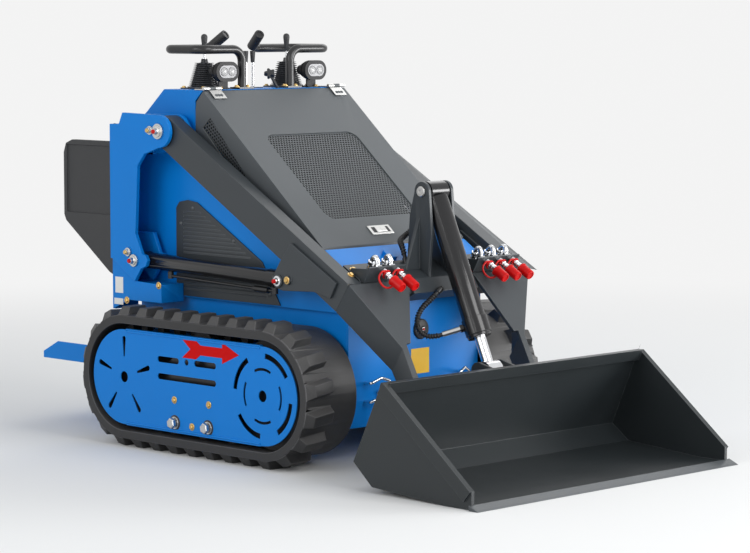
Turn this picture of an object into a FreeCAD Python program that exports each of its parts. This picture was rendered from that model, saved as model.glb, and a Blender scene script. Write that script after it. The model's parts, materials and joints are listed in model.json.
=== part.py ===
import FreeCAD, Part
import math
import os
import Sketcher

# Compact stand-on track loader, in millimetres. +Z up, the machine faces -Y, its left side is +X.
# The origin is on the ground, at the middle of the machine's length and width.

doc = FreeCAD.newDocument("TrackLoader")
sheet = doc.addObject("Spreadsheet::Sheet", "sizes")
Vector = FreeCAD.Vector
Rotation = FreeCAD.Rotation
Placement = FreeCAD.Placement


class Size:
    """A number together with the expression that ties it to the sheet."""

    def __init__(self, value, text):
        self.value = float(value)
        self.text = text

    def __float__(self):
        return self.value

    def __neg__(self):
        return Size(-self.value, f"(0 - {self.text})")

    def __add__(self, other):
        other = sized(other)
        return Size(self.value + other.value, f"({self.text} + {other.text})")

    def __radd__(self, other):
        return sized(other) + self

    def __sub__(self, other):
        other = sized(other)
        return Size(self.value - other.value, f"({self.text} - {other.text})")

    def __rsub__(self, other):
        return sized(other) - self

    def __mul__(self, other):
        other = sized(other)
        return Size(self.value * other.value, f"({self.text} * {other.text})")

    __rmul__ = __mul__

    def __truediv__(self, other):
        other = sized(other)
        return Size(self.value / other.value, f"({self.text} / {other.text})")


def sized(value):
    return value if isinstance(value, Size) else Size(value, repr(float(value)))


def root(value):
    return Size(math.sqrt(float(value)), f"sqrt({value.text})")


def leanAbout(dy, dz):
    """Angle about X that turns +Z onto the direction (dy, dz)."""
    dy, dz = sized(dy), sized(dz)
    return Size(math.degrees(math.atan2(-dy.value, dz.value)), f"atan2(0 - {dy.text}; {dz.text})")


rowCount = 0


def size(alias, value):
    """One driving dimension: a row of the sheet with an alias."""
    global rowCount
    rowCount += 1
    sheet.set(f"A{rowCount}", alias)
    sheet.set(f"B{rowCount}", str(value))
    sheet.setAlias(f"B{rowCount}", alias)
    return Size(value, f"sizes.{alias}")


def bind(thing, prop, value):
    thing.setExpression(prop, sized(value).text)


def place(thing, x, y, z, rotation=None):
    thing.Placement = Placement(Vector(float(x), float(y), float(z)), rotation or Rotation())
    bind(thing, "Placement.Base.x", x)
    bind(thing, "Placement.Base.y", y)
    bind(thing, "Placement.Base.z", z)
    return thing


def box(name, x0, x1, y0, y1, z0, z1):
    thing = doc.addObject("Part::Box", name)
    bind(thing, "Length", sized(x1) - x0)
    bind(thing, "Width", sized(y1) - y0)
    bind(thing, "Height", sized(z1) - z0)
    return place(thing, x0, y0, z0)


def rodX(name, y, z, radius, x0, x1):
    thing = doc.addObject("Part::Cylinder", name)
    bind(thing, "Radius", radius)
    bind(thing, "Height", sized(x1) - x0)
    return place(thing, x0, y, z, Rotation(Vector(0, 1, 0), 90))


def rodZ(name, x, y, radius, z0, z1):
    thing = doc.addObject("Part::Cylinder", name)
    bind(thing, "Radius", radius)
    bind(thing, "Height", sized(z1) - z0)
    return place(thing, x, y, z0)


def rodY(name, x, z, radius, y0, y1):
    thing = doc.addObject("Part::Cylinder", name)
    bind(thing, "Radius", radius)
    bind(thing, "Height", sized(y1) - y0)
    return place(thing, x, y0, z, Rotation(Vector(1, 0, 0), -90))


def coneZ(name, x, y, low, high, z0, z1):
    thing = doc.addObject("Part::Cone", name)
    bind(thing, "Radius1", low)
    bind(thing, "Radius2", high)
    bind(thing, "Height", sized(z1) - z0)
    return place(thing, x, y, z0)


def rodAlong(name, x, start, end, radius, skip, length):
    """Cylinder in a plane of constant x: it starts skip past start, on the line to end."""
    dy, dz = sized(end[0]) - start[0], sized(end[1]) - start[1]
    run = root(dy * dy + dz * dz)
    thing = doc.addObject("Part::Cylinder", name)
    bind(thing, "Radius", radius)
    bind(thing, "Height", length)
    lean = leanAbout(dy, dz)
    place(thing, x, start[0] + dy / run * skip, start[1] + dz / run * skip,
          Rotation(Vector(1, 0, 0), float(lean)))
    bind(thing, "Placement.Rotation.Angle", lean)
    return thing


def outline(name, points, x):
    """Closed polygon of (y, z) corners in the plane of constant x, each corner tied to the sheet."""
    sketch = doc.addObject("Sketcher::SketchObject", name)
    sketch.Placement = Placement(Vector(float(x), 0, 0), Rotation(Vector(1, 1, 1), 120))
    corners = [Vector(float(y), float(z), 0) for y, z in points]
    count = len(corners)
    for index in range(count):
        sketch.addGeometry(Part.LineSegment(corners[index], corners[(index + 1) % count]), False)
    for index in range(count):
        sketch.addConstraint(Sketcher.Constraint("Coincident", index, 2, (index + 1) % count, 1))
    for index, (y, z) in enumerate(points):
        for kind, value in (("DistanceX", y), ("DistanceY", z)):
            number = sketch.addConstraint(Sketcher.Constraint(kind, -1, 1, index, 1, float(value)))
            sketch.setExpression(f"Constraints[{number}]", sized(value).text)
    bind(sketch, "Placement.Base.x", x)
    return sketch


def prism(name, points, x0, x1):
    """Plate or block with a (y, z) outline, from x0 to x1."""
    thing = doc.addObject("Part::Extrusion", name)
    thing.Base = outline(name + "Outline", points, x0)
    thing.DirMode = "Normal"
    thing.Solid = True
    bind(thing, "LengthFwd", sized(x1) - x0)
    return thing


def fuse(name, *things):
    thing = doc.addObject("Part::MultiFuse", name)
    thing.Shapes = list(things)
    return thing


def compound(name, *things):
    thing = doc.addObject("Part::Compound", name)
    thing.Links = list(things)
    return thing


def cut(name, base, *tools):
    thing = doc.addObject("Part::Cut", name)
    thing.Base = base
    thing.Tool = tools[0] if len(tools) == 1 else fuse(name + "Tools", *tools)
    return thing


def mirror(name, source):
    thing = doc.addObject("Part::Mirroring", name)
    thing.Source = source
    thing.Base = (0, 0, 0)
    thing.Normal = (1, 0, 0)
    return thing


def feature(name, shape):
    thing = doc.addObject("Part::Feature", name)
    thing.Shape = shape
    thing.Placement = Placement()
    return thing


nodes = []


def bentTube(points, radius, bends):
    """Round tube along straight runs joined by arcs: the wire it follows and its solid."""
    edges = []
    start = points[0]
    for before, corner, after, bend in zip(points, points[1:], points[2:], bends):
        inward = (before - corner).normalize()
        onward = (after - corner).normalize()
        half = inward.getAngle(onward) / 2
        reach = bend / math.tan(half)
        first = corner + inward * reach
        last = corner + onward * reach
        centre = corner + (inward + onward).normalize() * (bend / math.sin(half))
        middle = centre + (corner - centre).normalize() * bend
        edges.append(Part.LineSegment(start, first).toShape())
        edges.append(Part.Arc(first, middle, last).toShape())
        start = last
    edges.append(Part.LineSegment(start, points[-1]).toShape())
    wire = Part.Wire(edges)
    ring = Part.Wire([Part.Circle(points[0], points[1] - points[0], radius).toShape()])
    return wire, wire.makePipeShell([ring], True, False)


def hose(name, points, radius):
    """Hose through points chosen by hand: each arc takes 0.45 of the shorter run beside its corner."""
    bends = []
    for before, corner, after in zip(points, points[1:], points[2:]):
        half = (before - corner).getAngle(after - corner) / 2
        bends.append(0.45 * min((before - corner).Length, (after - corner).Length) * math.tan(half))
    wire, tube = bentTube(points, radius, bends)
    share = tube.Volume / (math.pi * radius * radius * wire.Length)
    print(f"{name}: length {wire.Length:.0f} mm, tightest bend {min(bends):.0f} mm, volume share {share:.3f}")
    return feature(name, tube)


def bothSides(name, thing):
    """The left piece and its mirrored right twin as separate solids of one node."""
    return compound(name, thing, mirror(name + "Twin", thing))


def node(label, thing):
    thing.Label = label
    nodes.append(thing)
    return thing


def pair(label, thing):
    """The left piece as built and its mirrored right twin."""
    node(label + "_left", thing)
    node(label + "_right", mirror(label.replace("_", " ").title().replace(" ", "") + "Twin", thing))


# Driving dimensions
wheelZ = size("wheelZ", 190)
rearAxleY = size("rearAxleY", 394)
frontAxleY = size("frontAxleY", -156)
tubHalf = size("tubHalf", 245)
trackGap = size("trackGap", 11)
trackInX = tubHalf + trackGap
trackWide = size("trackWide", 180)
beltOuterR = size("beltOuterR", 168)
beltThick = size("beltThick", 23)
lugHigh = size("lugHigh", 22)
lugCount = 30
guideHigh = size("guideHigh", 26)
trackMidX = trackInX + trackWide / 2
trackOutX = trackInX + trackWide
beltInnerR = beltOuterR - beltThick

tubWall = size("tubWall", 6)
bellyZ = size("bellyZ", 98)
tubTopZ = size("tubTopZ", 399)
bodyOverhang = size("bodyOverhang", 17)
bodyHalf = tubHalf + bodyOverhang
bodyRearY = size("bodyRearY", 539)
bodyFrontY = size("bodyFrontY", -275)
frontPlateThick = size("frontPlateThick", 6)
shelfFrontZ = size("shelfFrontZ", 521)
shelfRearY = size("shelfRearY", -212)
shelfRearZ = size("shelfRearZ", 560)

consoleSeamZ = size("consoleSeamZ", 797)
consoleTopZ = size("consoleTopZ", 962)
consoleTopRearY = size("consoleTopRearY", 418)
consoleChamferY = size("consoleChamferY", 492)
consoleChamferDrop = size("consoleChamferDrop", 64)
consoleChamferZ = consoleTopZ - consoleChamferDrop
consoleRearDrop = size("consoleRearDrop", 95)
consoleRearZ = consoleTopZ - consoleRearDrop
hoodRearY = size("hoodRearY", 285)
seamGap = size("seamGap", 4)

hoodOverhang = size("hoodOverhang", 3)
hoodHalf = bodyHalf + hoodOverhang
hoodSheet = size("hoodSheet", 4)
hoodTopInset = size("hoodTopInset", 31)
hoodTopY = hoodRearY - hoodTopInset
hoodTopDrop = size("hoodTopDrop", 2)
hoodTopZ = consoleTopZ - hoodTopDrop
hoodNoseDrop = size("hoodNoseDrop", 30)
hoodLowY = size("hoodLowY", -207)
hoodLowZ = size("hoodLowZ", 565)
hoodCheekZ = size("hoodCheekZ", 765)
hoodHingeRise = size("hoodHingeRise", 6)
hoodHingeY = hoodTopY
hoodHingeZ = hoodTopZ + hoodHingeRise

armPinY = size("armPinY", 333)
armPinZ = size("armPinZ", 852)
armPinR = size("armPinR", 16)
armStandoff = size("armStandoff", 32)
armInX = bodyHalf + armStandoff
armWide = size("armWide", 45)
armRearR = size("armRearR", 42)
armTipTopY = size("armTipTopY", -379)
armTipTopZ = size("armTipTopZ", 486)
armTipLowY = size("armTipLowY", -332)
armTipLowZ = size("armTipLowZ", 414)
armOutX = armInX + armWide
armMidX = armInX + armWide / 2
pinFit = size("pinFit", 0.05)
sideGap = size("sideGap", 4)

liftBaseY = size("liftBaseY", 437)
liftBaseZ = size("liftBaseZ", 498)
liftEyeY = size("liftEyeY", -130)
liftEyeZ = size("liftEyeZ", 480)
liftBarrelR = size("liftBarrelR", 22)
liftRodR = size("liftRodR", 12)
liftPinR = size("liftPinR", 12)
liftEyeR = size("liftEyeR", 22)
liftBarrelLong = size("liftBarrelLong", 520)

towerThick = size("towerThick", 12)
earR = size("earR", 44)
towerRise = size("towerRise", 47)
towerTopZ = armPinZ + towerRise
gussetThick = size("gussetThick", 8)

legOutX = size("legOutX", 231)
legThick = size("legThick", 20)
bucketPinY = size("bucketPinY", -519)
bucketPinZ = size("bucketPinZ", 140)
bucketPinR = size("bucketPinR", 14)
legEndR = size("legEndR", 28)
knuckleLowY = size("knuckleLowY", -463)
knuckleLowZ = size("knuckleLowZ", 323)
knuckleInX = size("knuckleInX", 120)
plateThick = size("plateThick", 10)

tiltPinY = size("tiltPinY", -351)
tiltPinZ = size("tiltPinZ", 707)
tiltPinR = size("tiltPinR", 14)
tiltEarInX = size("tiltEarInX", 37)
tiltEarR = size("tiltEarR", 26)
tiltEyeY = size("tiltEyeY", -552)
tiltEyeZ = size("tiltEyeZ", 255)
tiltBarrelR = size("tiltBarrelR", 31)
tiltRodR = size("tiltRodR", 15)
tiltBarrelLong = size("tiltBarrelLong", 375)
deckRearY = size("deckRearY", -303)
deckRearZ = size("deckRearZ", 528)
flangeLowY = size("flangeLowY", -398)
flangeLowZ = size("flangeLowZ", 450)

bucketHalf = size("bucketHalf", 487)
bucketSheet = size("bucketSheet", 10)
bucketTopY = size("bucketTopY", -640)
bucketTopZ = size("bucketTopZ", 276)
bucketHeelY = size("bucketHeelY", -545)
bucketHeelZ = size("bucketHeelZ", 72)
bucketToeY = size("bucketToeY", -609)
bucketToeZ = size("bucketToeZ", 16)
edgeTipY = size("edgeTipY", -973)
edgeDeep = size("edgeDeep", 118)
edgeThick = size("edgeThick", 14)
edgeOverhang = size("edgeOverhang", 10)
edgeHalf = bucketHalf + edgeOverhang
bucketLipY = size("bucketLipY", -942)
bucketLipZ = size("bucketLipZ", 45)
hitchThick = size("hitchThick", 12)
hitchHalf = size("hitchHalf", 330)

platformRearY = size("platformRearY", 973)
platformHingeY = size("platformHingeY", 594)
platformHingeZ = size("platformHingeZ", 183)
platformHalf = size("platformHalf", 250)
platformSheet = size("platformSheet", 6)
platformFlangeZ = size("platformFlangeZ", 229)
platformHingeR = size("platformHingeR", 9)

padThick = size("padThick", 18)
guardThick = size("guardThick", 4)
guardHalfZ = size("guardHalfZ", 129)
doc.recompute()


# Undercarriage
def stadium(name, radius, x0, x1):
    """Solid round-ended block round both axles."""
    front = rodX(name + "Front", frontAxleY, wheelZ, radius, x0, x1)
    rear = rodX(name + "Rear", rearAxleY, wheelZ, radius, x0, x1)
    middle = box(name + "Middle", x0, x1, frontAxleY, rearAxleY, wheelZ - radius, wheelZ + radius)
    return fuse(name, front, middle, rear)


def trackPath(distance, radius):
    """Point, and the outward angle, at a distance along the belt's centre loop."""
    span = float(rearAxleY - frontAxleY)
    arc = math.pi * radius
    distance = distance % (2 * span + 2 * arc)
    if distance < span:
        return float(rearAxleY) - distance, float(wheelZ) + radius, 90.0
    if distance < span + arc:
        turn = (distance - span) / radius
        return (float(frontAxleY) - radius * math.sin(turn), float(wheelZ) + radius * math.cos(turn),
                90 + math.degrees(turn))
    if distance < 2 * span + arc:
        return float(frontAxleY) + distance - span - arc, float(wheelZ) - radius, 270.0
    turn = (distance - 2 * span - arc) / radius
    return (float(rearAxleY) + radius * math.sin(turn), float(wheelZ) - radius * math.cos(turn),
            270 + math.degrees(turn))


def frustum(low, high):
    """Solid between two matching polygons."""
    count = len(low)
    faces = [Part.Face(Part.makePolygon(ring + ring[:1])) for ring in (low, high)]
    for index in range(count):
        after = (index + 1) % count
        corners = [low[index], low[after], high[after], high[index], low[index]]
        faces.append(Part.Face(Part.makePolygon(corners)))
    return Part.Solid(Part.Shell(faces))


def beltBlocks(rootX, tipX, rootWide, tipWide, skew, high, outward, shift):
    """Tapered blocks round the belt: rootX and tipX are the spans across the belt, skew slants them."""
    radius = float(beltOuterR) if outward else float(beltInnerR)
    sign = 1 if outward else -1
    bite = 4
    loop = 2 * float(rearAxleY - frontAxleY) + 2 * math.pi * radius

    def ring(span, wide, z):
        corners = []
        for x, side in ((span[0], -1), (span[1], -1), (span[1], 1), (span[0], 1)):
            lean = skew * (x - rootX[0]) / (rootX[1] - rootX[0])
            corners.append(Vector(x, side * wide / 2 + lean, z))
        return corners

    blocks = []
    for index in range(lugCount):
        y, z, angle = trackPath((index + shift) * loop / lugCount, radius)
        block = frustum(ring(rootX, rootWide, -bite * sign), ring(tipX, tipWide, high * sign))
        block.rotate(Vector(0, 0, 0), Vector(1, 0, 0), angle - 90)
        block.translate(Vector(0, y, z))
        blocks.append(block)
    return blocks


beltRing = cut("BeltRing", stadium("BeltOuter", beltOuterR, trackInX, trackOutX),
               stadium("BeltInner", beltInnerR, trackInX - 1, trackOutX + 1))
doc.recompute()
lugRoot = size("lugRoot", 44)
lugTip = size("lugTip", 30)
guideWide = size("guideWide", 24)
grooveHalf = size("grooveHalf", 5)
lugSkew = size("lugSkew", 12)
lugEndSlope = size("lugEndSlope", 16)
lugInnerSlope = size("lugInnerSlope", 5)


def lugRow(edge, side, shift):
    """One row of lugs between the belt's edge and its middle groove."""
    inner = float(trackMidX) + side * float(grooveHalf)
    outer = float(edge)
    rootX = (outer, inner)
    tipX = (outer - side * float(lugEndSlope), inner + side * float(lugInnerSlope))
    return beltBlocks(rootX, tipX, float(lugRoot), float(lugTip), float(lugSkew), float(lugHigh), True, shift)


lugs = feature("TrackLugs", Part.makeCompound(lugRow(trackOutX, 1, 0) + lugRow(trackInX, -1, 0.5)))
guideHalf = float(guideWide) / 2
guideSpan = (float(trackMidX) - guideHalf, float(trackMidX) + guideHalf)
guides = feature("TrackGuides", Part.makeCompound(
    beltBlocks(guideSpan, guideSpan, 34, 22, 0, float(guideHigh), False, 0)))
pair("track", fuse("TrackLeft", beltRing, lugs, guides))

wheelGap = size("wheelGap", 0.4)
wheelWide = size("wheelWide", 30)
wheelClear = size("wheelClear", 4)
hubR = size("hubR", 44)
hubReach = size("hubReach", 8)
sprocketHubX = size("sprocketHubX", 404)
railInX = trackMidX - guideWide / 2 - wheelClear - wheelWide - hubReach - plateThick
railOutX = trackMidX + guideWide / 2 + wheelClear + wheelWide + hubReach + plateThick


def twinWheel(name, y, z, radius, hub):
    """Two discs that run on the belt each side of its guides, on one hub."""
    inner = trackMidX - guideWide / 2 - wheelClear
    outer = trackMidX + guideWide / 2 + wheelClear
    return [rodX(name + "InnerDisc", y, z, radius, inner - wheelWide, inner),
            rodX(name + "OuterDisc", y, z, radius, outer, outer + wheelWide),
            rodX(name + "Hub", y, z, hub, inner - wheelWide - hubReach, outer + wheelWide + hubReach)]


idlerR = beltInnerR - wheelGap
idler = fuse("IdlerLeft", *twinWheel("Idler", frontAxleY, wheelZ, idlerR, hubR))
sprocketR = beltInnerR - guideHigh - wheelGap
sprocketThick = size("sprocketThick", 18)
sprocket = fuse("SprocketLeft",
                rodX("SprocketDisc", rearAxleY, wheelZ, sprocketR,
                     trackMidX - sprocketThick / 2, trackMidX + sprocketThick / 2),
                rodX("SprocketHub", rearAxleY, wheelZ, hubR, railInX + plateThick, sprocketHubX))
node("idler_wheels", bothSides("IdlerWheels", idler))
node("drive_sprockets", bothSides("DriveSprockets", sprocket))

rollerR = size("rollerR", 40)
rollerHub = rollerR - guideHigh - 1.5
rollerSpan = size("rollerSpan", 230)
rollerCount = 3
rollerZ = wheelZ - beltInnerR + rollerR + wheelGap
rollerParts = []
for index in range(rollerCount):
    y = (rearAxleY + frontAxleY) / 2 + rollerSpan * (index / (rollerCount - 1) - 0.5)
    rollerParts += twinWheel(f"Roller{index}", y, rollerZ, rollerR, rollerHub)
topRollerZ = wheelZ + beltInnerR - rollerR - wheelGap
rollerParts += twinWheel("TopRoller", (rearAxleY + frontAxleY) / 2, topRollerZ, rollerR, rollerHub)
node("track_rollers", bothSides("TrackRollers", fuse("RollersLeft", *rollerParts)))

# the frame beam runs between the two side plates that hold the roller axles
railHalf = rollerSpan / 2 + 25
beamHalf = size("beamHalf", 112)
railMidY = (rearAxleY + frontAxleY) / 2


def railPlate(name, x0, x1):
    return prism(name, [(railMidY - railHalf, rollerZ - rollerHub), (railMidY + railHalf, rollerZ - rollerHub),
                        (railMidY + railHalf, wheelZ + 30), (railMidY + 40, topRollerZ + rollerHub),
                        (railMidY - 40, topRollerZ + rollerHub), (railMidY - railHalf, wheelZ + 30)], x0, x1)


beamHalfZ = size("beamHalfZ", 30)
frameLeft = fuse("TrackFrameLeft",
                 railPlate("RailInner", railInX, railInX + plateThick),
                 railPlate("RailOuter", railOutX - plateThick, railOutX),
                 box("RailBeam", railInX, railOutX, railMidY - beamHalf, railMidY + beamHalf,
                     wheelZ - beamHalfZ, wheelZ + beamHalfZ),
                 box("FrontBeamArm", railInX, railInX + plateThick, frontAxleY, railMidY, wheelZ - beamHalfZ,
                     wheelZ + beamHalfZ),
                 box("RearBeamArm", railInX, railInX + plateThick, railMidY, rearAxleY, wheelZ - beamHalfZ,
                     wheelZ + beamHalfZ),
                 rodX("CrossStubFront", railMidY - beamHalf + 30, wheelZ, 28, tubHalf, railInX + 5),
                 rodX("CrossStubRear", railMidY + beamHalf - 30, wheelZ, 28, tubHalf, railInX + 5))
frameCut = cut("TrackFrameCut", frameLeft,
               *[rodX(f"RollerRoom{index}", railMidY + rollerSpan * (index / (rollerCount - 1) - 0.5), rollerZ,
                      rollerHub + 1, railInX + plateThick, railOutX - plateThick)
                 for index in range(rollerCount)],
               rodX("TopRollerRoom", railMidY, topRollerZ, rollerHub + 1, railInX + plateThick,
                    railOutX - plateThick))
node("track_frames", bothSides("TrackFrames", frameCut))

# outer guard plate
guardInset = size("guardInset", 5)
guardX = trackOutX - guardInset
guardFlange = size("guardFlange", 12)
guardHoleR = size("guardHoleR", 15)
guardPlate = stadium("GuardPlate", guardHalfZ, guardX - guardThick, guardX)
guardFlanges = [box(f"GuardFlange{index}", guardX - guardFlange, guardX, frontAxleY + 8, rearAxleY - 8,
                    wheelZ + side * guardHalfZ - guardThick / 2, wheelZ + side * guardHalfZ + guardThick / 2)
                for index, side in enumerate((-1, 1))]
guardPostR = size("guardPostR", 10)
guardPostDrop = size("guardPostDrop", 62)
guardPosts = [rodX(f"GuardPost{index}", railMidY + shift, wheelZ - guardPostDrop, guardPostR, railOutX,
                   guardX - guardThick)
              for index, shift in enumerate((45, -55))]
guardCutX = (guardX - guardThick - 2, guardX + 2)


def ringSlot(name, y, z, inner, outer, start, sweep):
    """Curved slot: a sector of a ring. Angles run from the rear (+Y) upward."""
    sectors = []
    for suffix, radius in (("Outer", outer), ("Inner", inner)):
        sector = rodX(name + suffix, y, z, radius, *guardCutX)
        sector.Angle = sweep
        # the sector opens from its local X axis, which this rotation lays along the start angle
        turn = Rotation(Vector(1, 0, 0), start) * Rotation(Vector(1, 1, 1), 120)
        sector.Placement = Placement(sector.Placement.Base, turn)
        sectors.append(sector)
    return cut(name, *sectors)


def dropSlot(name, y, z, angle, near, far, wide, narrow):
    """Teardrop slot that points away from (y, z)."""
    dy, dz = math.cos(math.radians(angle)), math.sin(math.radians(angle))
    nearY, nearZ = y + near * dy, z + near * dz
    farY, farZ = y + far * dy, z + far * dz
    web = prism(name + "Web", [
        (nearY - wide * dz, nearZ + wide * dy), (nearY + wide * dz, nearZ - wide * dy),
        (farY + narrow * dz, farZ - narrow * dy), (farY - narrow * dz, farZ + narrow * dy)], *guardCutX)
    return fuse(name, web, rodX(name + "Near", nearY, nearZ, wide, *guardCutX),
                rodX(name + "Far", farY, farZ, narrow, *guardCutX))


def longSlot(name, y0, y1, z, half):
    return fuse(name, box(name + "Web", *guardCutX, y0, y1, z - half, z + half),
                rodX(name + "Low", y0, z, half, *guardCutX), rodX(name + "High", y1, z, half, *guardCutX))


dropNear = size("dropNear", 58)
dropFar = size("dropFar", 104)
dropNearR = size("dropNearR", 3)
dropFarR = size("dropFarR", 7)
wideArcIn = size("wideArcIn", 98)
wideArcOut = size("wideArcOut", 112)
thinArcIn = size("thinArcIn", 66)
thinArcOut = size("thinArcOut", 73)
slotHalf = size("slotHalf", 8)
slotRise = size("slotRise", 61)
slotLowRise = size("slotLowRise", 15)
slotLong = size("slotLong", 217)
slotShort = size("slotShort", 70)
dropCount, arcCount = 5, 4
slotMidY = railMidY + size("slotShift", 20)
slotFrontY, slotRearY = slotMidY - slotLong / 2, slotMidY + slotLong / 2
guardSlots = [rodX("GuardHoleFront", frontAxleY, wheelZ, guardHoleR, *guardCutX),
              rodX("GuardHoleRear", rearAxleY, wheelZ, guardHoleR, *guardCutX)]
for index in range(dropCount):
    guardSlots.append(dropSlot(f"DropSlot{index}", rearAxleY, wheelZ, 90 + 360 / dropCount * index,
                               dropNear, dropFar, dropNearR, dropFarR))
for index in range(arcCount):
    turn = 360 / arcCount * index
    guardSlots.append(ringSlot(f"WideArc{index}", frontAxleY, wheelZ, wideArcIn, wideArcOut, 5 + turn, 53))
    guardSlots.append(ringSlot(f"ThinArc{index}", frontAxleY, wheelZ, thinArcIn, thinArcOut, -26 + turn, 52))
guardSlots += [longSlot("LongSlot", slotFrontY, slotRearY, wheelZ + slotLowRise, slotHalf),
               longSlot("UpperSlotFront", slotFrontY, slotFrontY + slotShort, wheelZ + slotRise, slotHalf),
               longSlot("UpperSlotRear", slotRearY - slotShort, slotRearY, wheelZ + slotRise, slotHalf),
               rodX("SmallHole", slotMidY, wheelZ + slotRise, slotHalf, *guardCutX)]
pair("track_guard", cut("GuardLeft", fuse("GuardBlank", guardPlate, *guardFlanges, *guardPosts), *guardSlots))

# Chassis
node("lower_tub", cut(
    "LowerTub",
    box("TubOuter", -tubHalf, tubHalf, bodyFrontY, bodyRearY, bellyZ, tubTopZ),
    box("TubRoom", -tubHalf + tubWall, tubHalf - tubWall, bodyFrontY + tubWall, bodyRearY - tubWall,
        bellyZ + tubWall, tubTopZ + 1)))

node("front_plate", box("FrontPlate", -tubHalf, tubHalf, bodyFrontY - frontPlateThick, bodyFrontY,
                        bellyZ, shelfFrontZ))

wallTop = [(hoodRearY + seamGap, hoodCheekZ - 5), (shelfRearY + 17, hoodLowZ - 26), (shelfRearY, hoodLowZ - 26)]
upperOuter = prism("UpperOuter", [
    (bodyRearY, tubTopZ), (bodyRearY, consoleSeamZ), (hoodRearY + seamGap, consoleSeamZ),
    *wallTop, (shelfRearY, shelfRearZ), (bodyFrontY, shelfFrontZ), (bodyFrontY, tubTopZ)],
    -bodyHalf, bodyHalf)
upperRoom = prism("UpperRoom", [
    (bodyRearY - tubWall, tubTopZ + tubWall), (bodyRearY - tubWall, consoleSeamZ + 5),
    (hoodRearY, consoleSeamZ + 5), (shelfRearY + 8, hoodLowZ + 5), (shelfRearY + 8, shelfRearZ - 30),
    (shelfRearY - 1, shelfRearZ - 14), (bodyFrontY + tubWall, shelfFrontZ - tubWall - 2),
    (bodyFrontY + tubWall, tubTopZ + tubWall)],
    -bodyHalf + tubWall, bodyHalf - tubWall)
upperFloorRoom = box("UpperFloorRoom", -tubHalf + tubWall, tubHalf - tubWall, bodyFrontY + tubWall,
                     bodyRearY - tubWall, tubTopZ - 1, tubTopZ + tubWall + 1)
node("upper_body", cut("UpperBody", upperOuter, upperRoom, upperFloorRoom))

consoleOuter = prism("ConsoleOuter", [
    (bodyRearY, consoleSeamZ), (bodyRearY, consoleRearZ), (consoleChamferY, consoleChamferZ),
    (consoleTopRearY, consoleTopZ), (hoodTopY + seamGap, consoleTopZ),
    (hoodRearY + seamGap, hoodTopZ - hoodNoseDrop + 3), (hoodRearY + seamGap, consoleSeamZ)], -bodyHalf, bodyHalf)
consoleRoom = prism("ConsoleRoom", [
    (bodyRearY - tubWall, consoleSeamZ - 1), (bodyRearY - tubWall, consoleRearZ - tubWall),
    (consoleChamferY - 3, consoleChamferZ - tubWall), (consoleTopRearY - 2, consoleTopZ - tubWall),
    (hoodRearY, consoleTopZ - tubWall), (hoodRearY, consoleSeamZ - 1)], -bodyHalf + tubWall, bodyHalf - tubWall)
node("console", cut("Console", consoleOuter, consoleRoom))

engineHalfX = size("engineHalfX", 170)
engineHalfY = size("engineHalfY", 180)
engineHigh = size("engineHigh", 366)
node("engine_block", box("EngineBlock", -engineHalfX, engineHalfX, -engineHalfY, engineHalfY,
                         bellyZ + tubWall,
                         bellyZ + tubWall + engineHigh))

plugX = size("plugX", 23)
plugZ = size("plugZ", 338)
plugR = size("plugR", 27)
plateFrontY = bodyFrontY - frontPlateThick
node("front_plug", rodY("FrontPlug", plugX, plugZ, plugR, plateFrontY - 5, plateFrontY))
shelfDy, shelfDz = shelfRearY - bodyFrontY, shelfRearZ - shelfFrontZ
capX = size("capX", -68)
capR = size("capR", 21)
capHigh = size("capHigh", 13)
capShare = 0.34
capFoot = (bodyFrontY + shelfDy * capShare, shelfFrontZ + shelfDz * capShare)
capHead = (capFoot[0] - shelfDz, capFoot[1] + shelfDy)
node("filler_cap", rodAlong("FillerCap", capX, capFoot, capHead, capR, 0, capHigh))
hookR = size("hookR", 4)
hookUpperZ = size("hookUpperZ", 214)
hookLowerZ = size("hookLowerZ", 165)


def tieHook(name, z):
    """Bent bar with both ends in the front plate."""
    y = float(plateFrontY)
    route = [Vector(-186, y, z), Vector(-186, y - 24, z), Vector(-158, y - 34, z + 13),
             Vector(-132, y - 42, z + 4),
             Vector(-140, y - 26, z - 26), Vector(-140, y, z - 26)]
    return feature(name, bentTube(route, float(hookR), [7] * 4)[1])


hookParts = []
for index, z in enumerate((float(hookUpperZ), float(hookLowerZ))):
    hookParts.append(tieHook(f"TieHook{index}", z))
    hookParts.append(mirror(f"TieHookTwin{index}", tieHook(f"TieHookSource{index}", z)))
node("tie_hooks", compound("TieHooks", *hookParts))

# Towers that carry the arms
towerInX = armInX - sideGap - towerThick
towerOutX = armOutX + sideGap
towerBackY = bodyRearY - 8


def liftEar(name, x0, x1):
    """Lower lug round the lift cylinder's base pin."""
    return prism(name, [
        (towerBackY, liftBaseZ + 73), (liftBaseY - 3, liftBaseZ + 73), (liftBaseY - 29, liftBaseZ + 20),
        (liftBaseY - 45, liftBaseZ + 16), (liftBaseY - 53, liftBaseZ + 2), (liftBaseY - 45, liftBaseZ - 14),
        (liftBaseY - 25, liftBaseZ - 22), (liftBaseY + 1, liftBaseZ - 57), (towerBackY, liftBaseZ)], x0, x1)


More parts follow.
